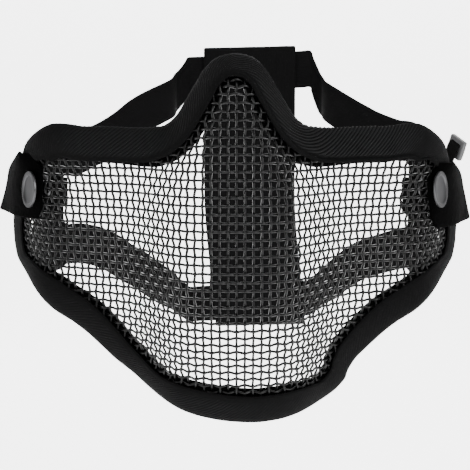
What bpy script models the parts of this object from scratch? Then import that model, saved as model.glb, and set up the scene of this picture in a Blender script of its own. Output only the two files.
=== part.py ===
"""A half-face mask of black wire mesh with a cloth edge binding and an elastic harness.

The mask faces -Y, +X is to the right of someone looking at its front, and +Z is up. The origin is
where the binding sits on the bridge of the nose. The pressed sheet is one surface, y = face_y(x, z),
and the sheet, its binding, the side tabs and the snaps are all laid out along it. The harness is
laid out on an upright surface that runs from one tab round the back of the head to the other.
"""

from math import cos, pi, radians, sin

import bmesh
import bpy
import numpy as np
from mathutils import Matrix, Vector

MM = 0.001

# Sheet outline
MASK_HALF_WIDTH = 100.0 * MM
MASK_HEIGHT = 151.0 * MM
SEAT_BELOW_TOP = 7.0 * MM
CHIN_SHIFT = 7.5 * MM

# Pressed form of the sheet
FLANK_HALF_WIDTH = 33.0 * MM
FLANK_DROP = 28.0 * MM
FLANK_RUN = 12.3 * MM
CHEEK_BOW = 28.0 * MM
SIDE_BEND_INSET = 16.0 * MM
SIDE_BEND_SOFTNESS = 3.0 * MM
SIDE_SLOPE = 1.45
CHIN_BEND_HEIGHT = 46.0 * MM
CHIN_BEND_SOFTNESS = 9.0 * MM
CHIN_SLOPE = 0.45

# Sheet and binding
SHEET_THICKNESS = 1.0 * MM
CLOTH_THICKNESS = 1.2 * MM
GAP = 0.35 * MM
SLOT_GAP = 0.5 * MM
BINDING_WIDTH = 14.5 * MM
GAP_COLUMNS = 17
GAP_ROWS = 7
BAR_SHARE = 0.26

# Side tabs
TAB_THICKNESS = 1.8 * MM
TAB_HEIGHT = 29.0 * MM
TAB_DROP = 35.3 * MM
TAB_TILT = 2.2 * MM
TAB_REACH = 17.5 * MM
TAB_INNER_STEP = 3.0 * MM
TAB_LOOP_LENGTH = 46.0 * MM
TAB_LOOP_WIDTH = 26.5 * MM
TAB_SLANT = 4.0 * MM
TAB_TAPER = 13.5 * MM
TAB_CORNER = 5.0 * MM
TAB_LEAVE_INSET = 1.5 * MM

# Snaps
SNAP_DIAMETER = 15.5 * MM
SNAP_THICKNESS = 1.4 * MM
SNAP_RIM = 1.3 * MM
SNAP_POST = 2.6 * MM
SNAP_BACK_DIAMETER = 9.0 * MM
SNAP_BACK_THICKNESS = 1.5 * MM
SNAP_HOLE = 3.4 * MM
SNAP_REACH = 10.2 * MM

# Harness
STRAP_WIDTH = 20.0 * MM
STRAP_THICKNESS = 1.5 * MM
STRAP_STRAIGHT = 4.8 * MM
HARNESS_DEPTH = 174.0 * MM
BACK_HALF_WIDTH = 37.0 * MM
BACK_SHIFT = 8.0 * MM
BACK_TILT = 0.05
UPPER_RISE = 35.2 * MM
LOWER_FALL = 40.9 * MM
TURN_RADIUS = 13.0 * MM
FOLD_SLOPE = 0.45
BAND_WIDTH = 50.0 * MM
BAND_THICKNESS = 1.6 * MM
BAND_SHIFT = 8.0 * MM
BAND_SWAY = 6.6 * MM
BAND_TILT = 0.022
SLEEVE_LENGTH = 31.0 * MM
SLEEVE_ROOM = 3.0 * MM

# Slider, and the strap end that holds it
SLIDER_LENGTH = 12.0 * MM
SLIDER_HEIGHT = 11.0 * MM
SLIDER_THICKNESS = 2.4 * MM
SLIDER_BAR = 2.2 * MM
SLIDER_TILT = radians(25)
END_LOOP_WIDTH = 6.9 * MM
END_LOOP_THICKNESS = 1.0 * MM
END_LOOP_LENGTH = 23.0 * MM

# Half outline from the top of the nose to the chin, as shares of the half width and of the height.
NOSE_OUTLINE = (
    # side, fall
    (0.000, 0.000),
    (0.060, 0.008),
    (0.104, 0.028),
    (0.142, 0.066),
    (0.180, 0.107),
    (0.225, 0.154),
    (0.272, 0.183),
    (0.330, 0.191),
    (0.410, 0.193),
    (0.515, 0.190),
    (0.625, 0.190),
    (0.700, 0.184),
    (0.770, 0.186),
    (0.825, 0.203),
    (0.872, 0.226),
    (0.905, 0.254),
)
SIDE_OUTLINE = (
    # side, fall
    (0.945, 0.315),
    (0.985, 0.395),
    (1.004, 0.470),
    (1.002, 0.535),
    (0.983, 0.588),
)
JAW_OUTLINE = (
    # side, fall
    (0.917, 0.634),
    (0.860, 0.676),
    (0.785, 0.718),
    (0.695, 0.752),
    (0.627, 0.787),
    (0.540, 0.843),
    (0.470, 0.888),
    (0.414, 0.926),
    (0.335, 0.957),
    (0.240, 0.978),
    (0.120, 0.993),
    (0.000, 1.000),
)

# The middle of the flank, from the bridge of the nose down to the chin: half width as a share of
# FLANK_HALF_WIDTH, height as a share of MASK_HEIGHT below the seat, drop and run as shares of theirs.
FLANK = (
    # half width, height, drop, run
    (0.00, 0.006, 0.64, 0.57),
    (0.24, 0.023, 0.64, 0.57),
    (0.39, 0.079, 0.66, 0.59),
    (0.58, 0.171, 0.75, 0.69),
    (0.82, 0.264, 0.87, 0.81),
    (0.97, 0.356, 0.96, 0.97),
    (1.00, 0.494, 1.00, 1.00),
    (1.00, 0.659, 1.00, 1.00),
    (1.00, 0.824, 1.00, 0.98),
    (1.00, 1.100, 1.00, 0.96),
)

# The tab's loop seen from above, from the mask's edge out, round the strap and back to the edge:
# along as a share of TAB_LOOP_LENGTH, across as a share of TAB_LOOP_WIDTH.
TAB_LOOP = (
    # along, across
    (0.226, 0.262),
    (0.411, 0.384),
    (0.574, 0.408),
    (0.748, 0.268),
    (0.889, -0.042),
    (1.000, -0.390),
    (0.950, -0.610),
    (0.748, -0.540),
    (0.530, -0.380),
    (0.335, -0.245),
    (0.183, -0.180),
)

# The harness seen from above, from inside the tab's loop to the corner at the back: along as a
# share of the way back, then on each side the share of the way in to the corner.
HARNESS_PLAN = (
    # along, right, left
    (0.000, 0.000, 0.000),
    (0.057, 0.020, 0.016),
    (0.123, 0.065, 0.051),
    (0.200, 0.145, 0.115),
    (0.300, 0.260, 0.215),
    (0.470, 0.460, 0.430),
    (0.740, 0.790, 0.780),
    (0.870, 0.930, 0.930),
    (0.960, 0.960, 0.960),
)

# How each branch of the strap rises or falls from the loop to the corner at the back, on each side
# as shares of UPPER_RISE and LOWER_FALL. The left one sags where it leaves the loop.
UPPER_BRANCH = (
    # back, right, left
    (0.00, 0.000, -0.180),
    (0.05, 0.003, -0.205),
    (0.10, 0.018, -0.175),
    (0.17, 0.052, -0.105),
    (0.25, 0.094, -0.035),
    (0.33, 0.145, 0.055),
    (0.41, 0.207, 0.165),
    (0.50, 0.277, 0.312),
    (0.60, 0.360, 0.432),
    (0.70, 0.444, 0.528),
    (0.80, 0.525, 0.618),
    (0.87, 0.573, 0.688),
    (0.92, 0.622, 0.748),
    (0.96, 0.775, 0.850),
    (1.00, 1.000, 1.000),
)
LOWER_BRANCH = (
    # back, right, left
    (0.00, 0.045, -0.012),
    (0.08, 0.085, -0.002),
    (0.20, 0.160, 0.058),
    (0.32, 0.240, 0.170),
    (0.42, 0.318, 0.303),
    (0.51, 0.416, 0.400),
    (0.60, 0.528, 0.525),
    (0.70, 0.665, 0.655),
    (0.80, 0.760, 0.760),
    (0.90, 0.850, 0.858),
    (1.00, 1.000, 1.000),
)

BLACK_WIRE = ("black_wire", (0.012, 0.012, 0.013), 0.45, 0.6)
BLACK_TAPE = ("black_tape", (0.016, 0.016, 0.017), 0.90, 0.0)
BLACK_TAB = ("black_tab_cloth", (0.012, 0.012, 0.012), 0.95, 0.0)
BLACK_ELASTIC = ("black_elastic", (0.014, 0.014, 0.015), 0.85, 0.0)
GREY_METAL = ("grey_metal", (0.32, 0.32, 0.33), 0.30, 1.0)
GREY_PLASTIC = ("grey_plastic", (0.10, 0.10, 0.105), 0.35, 0.0)


def catmull_rom(points, samples=16):
    """A smooth open curve through the points, as an array."""
    points = np.asarray(points, float)
    ends = np.vstack([2 * points[0] - points[1], points, 2 * points[-1] - points[-2]])
    parts = []
    for i in range(1, len(ends) - 2):
        p0, p1, p2, p3 = ends[i - 1 : i + 3]
        t = np.linspace(0, 1, samples, endpoint=False)[:, None]
        parts.append(
            0.5
            * (
                2 * p1
                + (p2 - p0) * t
                + (2 * p0 - 5 * p1 + 4 * p2 - p3) * t**2
                + (3 * p1 - 3 * p2 + p3 - p0) * t**3
            )
        )
    parts.append(points[-1:])
    return np.vstack(parts)


def lengths_along(points):
    steps = np.linalg.norm(np.diff(points, axis=0), axis=1)
    return np.concatenate([[0], np.cumsum(steps)])


def smooth_step(value):
    value = np.clip(value, 0, 1)
    return value * value * (3 - 2 * value)


def chin_offset(z):
    """How far the outline is shifted sideways at a height: nothing above the jaw, all at the chin."""
    bottom = SEAT_BELOW_TOP - MASK_HEIGHT
    return CHIN_SHIFT * smooth_step((bottom + 0.155 * MASK_HEIGHT - z) / (0.12 * MASK_HEIGHT))


FLANK_LINE = catmull_rom(
    [
        (w * FLANK_HALF_WIDTH, -h * MASK_HEIGHT, drop * FLANK_DROP, run * FLANK_RUN)
        for w, h, drop, run in FLANK
    ],
    samples=5,
)


def distance_to_flank(x, z):
    """Signed distance from the middle of the flank, negative on the nose and mouth."""
    best = np.full(x.shape, np.inf)
    for (x0, z0), (x1, z1) in zip(FLANK_LINE[:-1, :2], FLANK_LINE[1:, :2]):
        dx, dz = x1 - x0, z1 - z0
        t = np.clip(((x - x0) * dx + (z - z0) * dz) / (dx * dx + dz * dz), 0, 1)
        best = np.minimum(best, np.hypot(x - x0 - t * dx, z - z0 - t * dz))
    heights = FLANK_LINE[::-1, 1]
    inside = (x < np.interp(z, heights, FLANK_LINE[::-1, 0])) & (z < heights[-1])
    return np.where(inside, -best, best)


def pressed_depth(x, z):
    """Depth behind the flat front: flanks that drop to the cheeks, bent sides and a tucked chin."""
    z = np.asarray(z, float)
    x = np.abs(np.asarray(x, float) + 0 * z)
    z = z + 0 * x
    heights = FLANK_LINE[::-1, 1]
    drop = np.interp(z, heights, FLANK_LINE[::-1, 2])
    run = np.interp(z, heights, FLANK_LINE[::-1, 3])
    flank = drop * 0.5 * (1 + np.tanh(distance_to_flank(x, z) / run))
    bow = CHEEK_BOW * (x / MASK_HALF_WIDTH) ** 2
    past_bend = (x - (MASK_HALF_WIDTH - SIDE_BEND_INSET)) / SIDE_BEND_SOFTNESS
    side = SIDE_SLOPE * SIDE_BEND_SOFTNESS * np.log1p(np.exp(past_bend))
    below = SEAT_BELOW_TOP - MASK_HEIGHT + CHIN_BEND_HEIGHT - z
    chin = 0.5 * CHIN_SLOPE * (below + np.hypot(below, CHIN_BEND_SOFTNESS))
    return flank + bow + side + chin


BRIDGE_DEPTH = float(pressed_depth(0.0, 0.0)) + SHEET_THICKNESS / 2 + SLOT_GAP + CLOTH_THICKNESS


def face_y(x, z):
    """The pressed sheet in the part's frame, whose origin is behind the binding at the nose bridge."""
    return pressed_depth(x, z) - BRIDGE_DEPTH


def face_points(x, z, height=0.0):
    """Points a given height in front of the pressed sheet, square to it."""
    x, z = np.asarray(x, float), np.asarray(z, float)
    step = 0.05 * MM
    slope_x = (face_y(x + step, z) - face_y(x - step, z)) / (2 * step)
    slope_z = (face_y(x, z + step) - face_y(x, z - step)) / (2 * step)
    normals = np.stack([slope_x, -np.ones_like(slope_x), slope_z], axis=-1)
    normals /= np.linalg.norm(normals, axis=-1, keepdims=True)
    points = np.stack([x, face_y(x, z), z], axis=-1)
    return points + normals * np.asarray(height)[..., None], normals


def outline_sides():
    """The four sides of the outline as curves in x and z, each from left to right or top to bottom."""
    fine = 16
    shares = NOSE_OUTLINE + SIDE_OUTLINE + JAW_OUTLINE
    half = catmull_rom(
        [(s * MASK_HALF_WIDTH, SEAT_BELOW_TOP - f * MASK_HEIGHT) for s, f in shares], fine
    )
    upper = (len(NOSE_OUTLINE) - 1) * fine
    lower = upper + len(SIDE_OUTLINE) * fine
    nose, side, jaw = half[: upper + 1], half[upper : lower + 1], half[lower:]
    mirrored = np.array([-1.0, 1.0])
    sides = {
        "top": np.vstack([(nose * mirrored)[::-1], nose[1:]]),
        "right": side,
        "bottom": np.vstack([jaw * mirrored, jaw[::-1][1:]]),
        "left": side * mirrored,
    }
    for curve in sides.values():
        curve[:, 0] += chin_offset(curve[:, 1])
    return sides


def surface_lengths(curve):
    points, _ = face_points(curve[:, 0], curve[:, 1])
    return lengths_along(points)


def gap_pattern(count, cuts):
    """Shares of a side where bars and gaps meet, with each gap cut into equal parts."""
    bar, gap = BAR_SHARE / count, (1 - BAR_SHARE * (count - 1) / count) / count
    shares, kinds, place = [0.0], [], 0.0
    for i in range(count):
        for _ in range(cuts):
            place += gap / cuts
            shares.append(place)
            kinds.append("gap")
        if i < count - 1:
            place += bar
            shares.append(place)
            kinds.append("bar")
    return np.array(shares), kinds


def rim_stations():
    """The rim's stations round the outline with the direction inwards, as a closed loop."""
    sides = outline_sides()
    across, _ = gap_pattern(GAP_COLUMNS, 2)
    down, _ = gap_pattern(GAP_ROWS, 1)
    loops = []
    for name, shares in (("top", across), ("right", down), ("bottom", across), ("left", down)):
        curve = sides[name]
        along = surface_lengths(curve)
        wanted = shares * along[-1]
        points = np.column_stack([np.interp(wanted, along, curve[:, k]) for k in range(2)])
        if name in ("bottom", "left"):
            points = points[::-1]
        loops.append(points[:-1])
    rim = np.vstack(loops)
    tangent = np.roll(rim, -1, axis=0) - np.roll(rim, 1, axis=0)
    tangent /= np.linalg.norm(tangent, axis=1, keepdims=True)
    inward = np.column_stack([tangent[:, 1], -tangent[:, 0]])
    for _ in range(6):
        inward = 0.5 * inward + 0.25 * (np.roll(inward, 1, axis=0) + np.roll(inward, -1, axis=0))
        inward /= np.linalg.norm(inward, axis=1, keepdims=True)
    return rim, inward


def inset_points(rim, inward, inset):
    """Where each station is after going inwards by a length measured along the pressed sheet."""
    steps = 24
    points = rim.copy()
    if inset <= 0:
        return points
    for _ in range(steps):
        probe = points + inward * 0.1 * MM
        rise = (face_y(probe[:, 0], probe[:, 1]) - face_y(points[:, 0], points[:, 1])) / (0.1 * MM)
        points = points + inward * (inset / steps / np.sqrt(1 + rise**2))[:, None]
    return points


def new_material(finish):
    name, colour, roughness, metallic = finish
    material = bpy.data.materials.get(name)
    if material is None:
        material = bpy.data.materials.new(name)
        material.use_nodes = True
        shader = material.node_tree.nodes["Principled BSDF"]
        shader.inputs["Base Color"].default_value = (*colour, 1.0)
        shader.inputs["Roughness"].default_value = roughness
        shader.inputs["Metallic"].default_value = metallic
        material.diffuse_color = (*colour, 1.0)
    return material


def new_collection(name):
    collection = bpy.data.collections.new(name)
    bpy.context.scene.collection.children.link(collection)
    return collection


def add_object(name, bm, finish, collection):
    """An object from a bmesh, shaded smooth with its sharp edges kept."""
    mesh = bpy.data.meshes.new(name)
    bm.to_mesh(mesh)
    bm.free()
    mesh.shade_smooth()
    mesh.set_sharp_from_angle(angle=radians(40))
    mesh.materials.append(new_material(finish))
    obj = bpy.data.objects.new(name, mesh)
    collection.objects.link(obj)
    return obj


def thicken(obj, thickness, offset=0.0):
    shell = obj.modifiers.new("thickness", "SOLIDIFY")
    shell.thickness = thickness
    shell.offset = offset
    shell.use_even_offset = True
    shell.use_quality_normals = True
    return shell


def add_cell(bm, a, b, c, d):
    """A four-sided cell as two triangles, split from the first corner to the third."""
    bm.faces.new((a, b, c))
    bm.faces.new((a, c, d))


def strip_mesh(rows, closed=False, split=False, skip=()):
    """An open sheet through rows of points; split cells match the sheet's, skip leaves cells out."""
    bm = bmesh.new()
    grid = [[bm.verts.new(tuple(p)) for p in row] for row in rows]
    count = len(grid) if closed else len(grid) - 1
    for i in range(count):
        row, after = grid[i], grid[(i + 1) % len(grid)]
        for j in range(len(row) - 1):
            if (i, j) in skip:
                continue
            if not split:
                bm.faces.new((row[j], row[j + 1], after[j + 1], after[j]))
            elif j < len(row) // 2:
                add_cell(bm, row[j], row[j + 1], after[j + 1], after[j])
            else:
                add_cell(bm, row[j + 1], row[j], after[j], after[j + 1])
    loose = [v for v in bm.verts if not v.link_faces]
    bmesh.ops.delete(bm, geom=loose, context="VERTS")
    bmesh.ops.recalc_face_normals(bm, faces=bm.faces)
    return bm


def make_binding(collection):
    """Cloth tape folded over the sheet's edge, as a channel with a slot for the sheet."""
    rim, inward = rim_stations()
    lip = SHEET_THICKNESS / 2 + SLOT_GAP + CLOTH_THICKNESS / 2
    profile = (
        # inset, height
        (BINDING_WIDTH, lip),
        (0.56 * BINDING_WIDTH, lip),
        (2 * CLOTH_THICKNESS, lip),
        (0.9 * CLOTH_THICKNESS, 0.74 * lip),
        (0.5 * CLOTH_THICKNESS, 0.0),
        (0.9 * CLOTH_THICKNESS, -0.74 * lip),
        (2 * CLOTH_THICKNESS, -lip),
        (0.56 * BINDING_WIDTH, -lip),
        (BINDING_WIDTH, -lip),
    )
    columns = []
    for inset, height in profile:
        place = inset_points(rim, inward, inset)
        points, _ = face_points(place[:, 0], place[:, 1], height)
        columns.append(points)
    rows = np.stack(columns, axis=1)
    bm = strip_mesh(rows, closed=True, split=True)
    binding = add_object("edge_binding", bm, BLACK_TAPE, collection)
    thicken(binding, CLOTH_THICKNESS)
    return binding


def coons(top, bottom, left, right):
    """Points inside four sides, row by row from top to bottom."""
    rows, columns = len(left), len(top)
    v = np.linspace(0, 1, rows)[:, None, None]
    u = np.linspace(0, 1, columns)[None, :, None]
    across = (1 - v) * top[None] + v * bottom[None]
    down = (1 - u) * left[:, None] + u * right[:, None]
    corners = (
        (1 - u) * (1 - v) * top[0] + u * (1 - v) * top[-1]
        + (1 - u) * v * bottom[0] + u * v * bottom[-1]
    )
    return across + down - corners


def sheet_lattice():
    """The sheet's inner field as a grid of points in x and z, with the kind of each row and column."""
    rim, inward = rim_stations()
    _, across = gap_pattern(GAP_COLUMNS, 2)
    _, down = gap_pattern(GAP_ROWS, 1)
    inner = inset_points(rim, inward, BINDING_WIDTH)
    c, r = len(across), len(down)
    top = inner[: c + 1]
    right = inner[c : c + r + 1]
    bottom = inner[c + r : 2 * c + r + 1][::-1]
    left = np.vstack([inner[2 * c + r :], inner[:1]])[::-1]
    return rim, inward, coons(top, bottom, left, right), across, down


def make_sheet(collection):
    """The pressed sheet, cut through by a net of gaps that stands for the fine wire cloth."""
    rim, inward, field, across, down = sheet_lattice()
    bm = bmesh.new()

    def add_vertices(place):
        points, _ = face_points(place[:, 0], place[:, 1])
        return [bm.verts.new(tuple(p)) for p in points]

    grid = [add_vertices(row) for row in field]
    for i, row_kind in enumerate(down):
        for j, column_kind in enumerate(across):
            if row_kind == "gap" and column_kind == "gap":
                continue
            bm.faces.new((grid[i][j], grid[i][j + 1], grid[i + 1][j + 1], grid[i + 1][j]))
    edge = (
        grid[0][:-1]
        + [row[-1] for row in grid[:-1]]
        + grid[-1][::-1][:-1]
        + [row[0] for row in grid[::-1]][:-1]
    )
    loops = [edge] + [
        add_vertices(inset_points(rim, inward, inset))
        for inset in (0.56 * BINDING_WIDTH, 2 * CLOTH_THICKNESS)
    ]
    for inner, outer in zip(loops[:-1], loops[1:]):
        for k in range(len(inner)):
            after = (k + 1) % len(inner)
            add_cell(bm, inner[k], outer[k], outer[after], inner[after])
    bmesh.ops.recalc_face_normals(bm, faces=bm.faces)
    sheet = add_object("face_mesh", bm, BLACK_WIRE, collection)
    thicken(sheet, SHEET_THICKNESS)
    return sheet


def rim_x(z):
    """Half width of the outline's side at a height."""
    side = outline_sides()["right"]
    return float(np.interp(-z, -side[:, 1], side[:, 0]))


def snap_place():
    """The middle of the gap in the sheet that each snap's post goes through, in x and z."""
    _, _, field, across, down = sheet_lattice()
    wanted_x = rim_x(-TAB_DROP - TAB_HEIGHT / 2) - SNAP_REACH
    wanted_z = -TAB_DROP - TAB_HEIGHT / 2
    best, place = None, None
    for i, row_kind in enumerate(down):
        for j in range(len(across) // 2, len(across) - 1):
            if row_kind != "gap" or across[j] != "gap" or across[j + 1] != "gap":
                continue
            middle = (field[i, j] + field[i, j + 2] + field[i + 1, j] + field[i + 1, j + 2]) / 4
            miss = abs(middle[0] - wanted_x) + abs(middle[1] - wanted_z)
            if best is None or miss < best:
                best, place = miss, middle
    return float(place[0]), float(place[1])


def tab_hover():
    """Height of the tab's middle above the sheet, where it lies on the binding."""
    return SHEET_THICKNESS / 2 + SLOT_GAP + CLOTH_THICKNESS + GAP + TAB_THICKNESS / 2


def tab_rows(side):
    """Heights of one tab's rows at the mask's edge, with a cell round the snap's post."""
    _, snap_z = snap_place()
    top = -TAB_DROP - side * TAB_TILT
    bottom = top - TAB_HEIGHT
    above, below = snap_z + SNAP_HOLE / 2, snap_z - SNAP_HOLE / 2
    return (top, (top + above) / 2, above, below, (below + bottom) / 2, bottom)


def loop_frame():
    """Where the tab's loop starts in plan: the rim at the tab's middle height."""
    z = -TAB_DROP - TAB_HEIGHT / 2
    x = rim_x(z)
    return x, float(face_y(x, z))


def across_tab(front, leave):
    """Places across one ply on the mask, with a pair round the snap's post."""
    snap_x, _ = snap_place()
    hole = SNAP_HOLE / 2 * 0.62
    near = max(snap_x - hole, front + SNAP_HOLE / 2)
    far = max(snap_x + hole, near + SNAP_HOLE / 2)
    return [front, (front + near) / 2, near, far, (far + leave) / 2, leave]


def make_tab(name, side, collection):
    """A folded cloth tab: over the binding, round the strap, and back inside the mask."""
    edge_x, edge_y = loop_frame()
    front_x = edge_x - TAB_REACH
    hover = tab_hover()
    loop = catmull_rom(
        [(edge_x + across * TAB_LOOP_WIDTH, edge_y + along * TAB_LOOP_LENGTH) for along, across in TAB_LOOP],
        3,
    )
    stretch = (loop[:, 1] - edge_y) / TAB_LOOP_LENGTH
    after_fold = np.arange(len(loop)) > np.argmax(stretch)
    lean = np.where(after_fold, 0.0, smooth_step(2.9 * stretch) * smooth_step(2.5 - 2.5 * stretch))
    low_top = np.where(after_fold, 1.0, np.minimum(1.0, 2.4 * stretch))
    heights = tab_rows(side)
    rows = []
    for z in heights:
        share = (z - heights[-1]) / TAB_HEIGHT
        rounding = TAB_CORNER * (smooth_step(4 * share - 3) + 0.3 * smooth_step(1 - 5 * share))
        front = front_x + rounding
        leave_x = rim_x(z) - TAB_LEAVE_INSET
        outer, _ = face_points(across_tab(front, leave_x), np.full(6, z), hover)
        inner, _ = face_points(across_tab(front + TAB_INNER_STEP, leave_x), np.full(6, z), -hover)
        folded = np.column_stack(
            [
                loop[:, 0] + TAB_SLANT * (0.45 - share) * lean,
                loop[:, 1],
                z - (TAB_TAPER - side * TAB_TILT) * share * low_top,
            ]
        )
        rows.append(np.vstack([outer, folded, inner[::-1]]))
    grid = np.stack(rows)
    grid[:, :, 0] *= side
    columns = grid.shape[1]
    snap_row = 2
    skip = {(snap_row, 2), (snap_row, columns - 4)}
    tab = add_object(name, strip_mesh(grid, skip=skip), BLACK_TAB, collection)
    thicken(tab, TAB_THICKNESS)
    return tab


def snap_frame(side):
    """The snap's middle on the sheet and the matrix that turns +Z to the sheet's outward normal."""
    x, z = snap_place()
    point, normal = face_points([x], [z])
    point, normal = Vector(point[0]), Vector(normal[0])
    point.x *= side
    normal.x *= side
    turn = normal.to_track_quat("Z", "Y").to_matrix().to_4x4()
    return Matrix.Translation(point) @ turn


def turned(name, profile, matrix, finish, collection, steps=24):
    """A turned piece from a profile of radius and height, listed from the top down its outer side."""
    bm = bmesh.new()
    verts = [bm.verts.new((radius, 0, height)) for radius, height in profile]
    closed = profile[0][0] > 0
    ends = verts + verts[:1] if closed else verts
    for a, b in zip(ends[:-1], ends[1:]):
        bm.edges.new((a, b))
    mesh = bpy.data.meshes.new(name)
    bm.to_mesh(mesh)
    bm.free()
    mesh.materials.append(new_material(finish))
    piece = bpy.data.objects.new(name, mesh)
    collection.objects.link(piece)
    piece.matrix_world = matrix
    screw = piece.modifiers.new("turn", "SCREW")
    screw.axis = "Z"
    screw.steps = steps
    screw.render_steps = steps
    screw.use_merge_vertices = True
    screw.merge_threshold = 0.00001
    screw.use_smooth_shade = True
    return piece


def make_snaps(collection):
    """On each side a dished cap with its post, and the ring behind that the post goes through."""
    cap_floor = tab_hover() + TAB_THICKNESS / 2 + GAP
    radius = SNAP_DIAMETER / 2
    post = SNAP_POST / 2
    back = SNAP_BACK_DIAMETER / 2
    cap_profile = (
        (0.0, cap_floor + 0.45 * SNAP_THICKNESS),
        (radius - SNAP_RIM - 0.12 * radius, cap_floor + 0.52 * SNAP_THICKNESS),
        (radius - SNAP_RIM, cap_floor + SNAP_THICKNESS),
        (radius - 0.35 * SNAP_RIM, cap_floor + 0.88 * SNAP_THICKNESS),
        (radius, cap_floor + 0.40 * SNAP_THICKNESS),
        (radius - 0.3 * SNAP_RIM, cap_floor),
        (post, cap_floor),
        (post, -cap_floor - SNAP_BACK_THICKNESS),
        (0.0, -cap_floor - SNAP_BACK_THICKNESS),
    )
    ring_profile = (
        (post + GAP, -cap_floor),
        (back, -cap_floor),
        (back, -cap_floor - 0.6 * SNAP_BACK_THICKNESS),
        (0.8 * back, -cap_floor - SNAP_BACK_THICKNESS),
        (post + GAP, -cap_floor - SNAP_BACK_THICKNESS),
    )
    for side, word in ((-1, "left"), (1, "right")):
        frame = snap_frame(side)
        turned(f"snap_cap_{word}", cap_profile, frame, GREY_METAL, collection)
        turned(f"snap_back_{word}", ring_profile, frame, GREY_METAL, collection, 20)


def harness_start():
    """Where the strap starts in plan, inside the tab's loop behind the mask's edge."""
    edge_x, edge_y = loop_frame()
    return edge_x + 0.127 * TAB_LOOP_WIDTH, edge_y + 0.154 * TAB_LOOP_LENGTH


def harness_plan(side):
    """One side of the harness from above, from the loop to the middle of the back."""
    start_x, start_y = harness_start()
    corner_x = side * BACK_SHIFT + BACK_HALF_WIDTH
    way_in, way_back = start_x - corner_x, HARNESS_DEPTH - start_y
    points = [
        (start_x - (right if side > 0 else left) * way_in, start_y + along * way_back)
        for along, right, left in HARNESS_PLAN
    ]
    points.append((corner_x - 0.10 * BACK_HALF_WIDTH, HARNESS_DEPTH))
    points.append((corner_x - 0.22 * BACK_HALF_WIDTH, HARNESS_DEPTH))
    points.append((side * BACK_SHIFT, HARNESS_DEPTH))
    return catmull_rom(points, 12)


def upright_length():
    """Length in plan from the harness's start to the middle of the strap's upright stretch."""
    return 0.61 * TAB_LOOP_LENGTH


def corner_length(side):
    """Length in plan from the loop to the corner at the back."""
    plan = harness_plan(side)
    return float(lengths_along(plan)[len(HARNESS_PLAN) * 12])


def branch_line(branch, side, leave, corner, start_z, end_z):
    """A branch's middle from the loop to the corner, as lengths in plan and heights."""
    points = []
    for back, right, left in branch:
        share = right if side > 0 else left
        points.append((leave + back * (corner - leave), start_z + share * (end_z - start_z)))
    return catmull_rom(points, 3)


def strap_half(side):
    """Centre line and width direction of one side, from the back's upper middle to the lower one.

    The branches keep their width nearly upright where they drop at the corner at the back.
    """
    corner = corner_length(side)
    middle = float(lengths_along(harness_plan(side))[-1])
    turn = TURN_RADIUS
    leave = upright_length() + turn
    upper_z = -TAB_DROP - TAB_TAPER + STRAP_STRAIGHT + turn
    lower_z = -TAB_DROP - TAB_HEIGHT - STRAP_STRAIGHT - turn
    tilt = side * BACK_TILT * BACK_HALF_WIDTH
    upper = branch_line(UPPER_BRANCH, side, leave, corner, upper_z, upper_z + UPPER_RISE + tilt)
    lower = branch_line(LOWER_BRANCH, side, leave, corner, lower_z, lower_z - LOWER_FALL + tilt)
    angles = np.linspace(0.5 * pi, pi, 8)[1:]
    upper_turn = [(leave + turn * cos(a), upper[0, 1] - turn + turn * sin(a)) for a in angles]
    lower_turn = [(leave + turn * cos(a), lower[0, 1] + turn - turn * sin(a)) for a in angles[::-1]]
    flat = [(middle + (corner - middle) * share, share * tilt - tilt) for share in (0, 0.35, 0.65, 0.85)]
    flat_upper = [(along, upper[-1, 1] + rise) for along, rise in flat]
    flat_lower = [(along, lower[-1, 1] + rise) for along, rise in flat[::-1]]
    line = np.array(
        flat_upper + upper[::-1].tolist() + upper_turn + lower_turn + lower.tolist() + flat_lower
    )
    tangent = np.gradient(line, lengths_along(line), axis=0)
    back = (line[:, 0] - leave) / (corner - leave)
    limit = FOLD_SLOPE * (1 - 0.9 * smooth_step(8 * back - 6.4)) * np.abs(tangent[:, 0])
    limit = np.where(back > 0, limit, 1.0)
    tangent[:, 1] = np.clip(tangent[:, 1], -limit, limit)
    ends = tangent[:1], tangent[-1:]
    for _ in range(5):
        padded = np.vstack([ends[0], tangent, ends[1]])
        tangent = 0.5 * tangent + 0.25 * (padded[:-2] + padded[2:])
    tangent[[0, -1], 1] = 0.0
    tangent /= np.linalg.norm(tangent, axis=1, keepdims=True)
    return line, np.column_stack([-tangent[:, 1], tangent[:, 0]])


def on_harness(side, along, z, offset=0.0):
    """Points on the harness surface, or a distance inside it, from plan length and height."""
    plan = harness_plan(side)
    lengths = lengths_along(plan)
    place = np.column_stack([np.interp(along, lengths, plan[:, k]) for k in range(2)])
    ahead = np.column_stack([np.interp(along + 0.5 * MM, lengths, plan[:, k]) for k in range(2)])
    behind = np.column_stack([np.interp(along - 0.5 * MM, lengths, plan[:, k]) for k in range(2)])
    run = ahead - behind
    run /= np.linalg.norm(run, axis=1, keepdims=True)
    inwards = np.column_stack([-run[:, 1], run[:, 0]])
    place = place + inwards * offset
    return np.column_stack([side * place[:, 0], place[:, 1], z])


def make_strap(collection):
    """One elastic ribbon: round the back high, down through one tab, round low, and up the other."""
    cuts = np.linspace(-0.5, 0.5, 5)
    rows = []
    for side in (1, -1):
        line, across = strap_half(side)
        half_rows = []
        for point, direction in zip(line, across):
            places = point + np.outer(cuts * STRAP_WIDTH, direction)
            half_rows.append(on_harness(side, places[:, 0], places[:, 1]))
        if side == -1:
            half_rows = half_rows[::-1]
        rows.extend(half_rows[:-1])
    strap = add_object("elastic_strap", strip_mesh(rows, closed=True), BLACK_ELASTIC, collection)
    thicken(strap, STRAP_THICKNESS)
    return strap


def strap_heights():
    """Heights of the strap's middle at the back: the upper and the lower branch."""
    line, _ = strap_half(1)
    return float(line[0, 1]), float(line[-1, 1])


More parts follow.
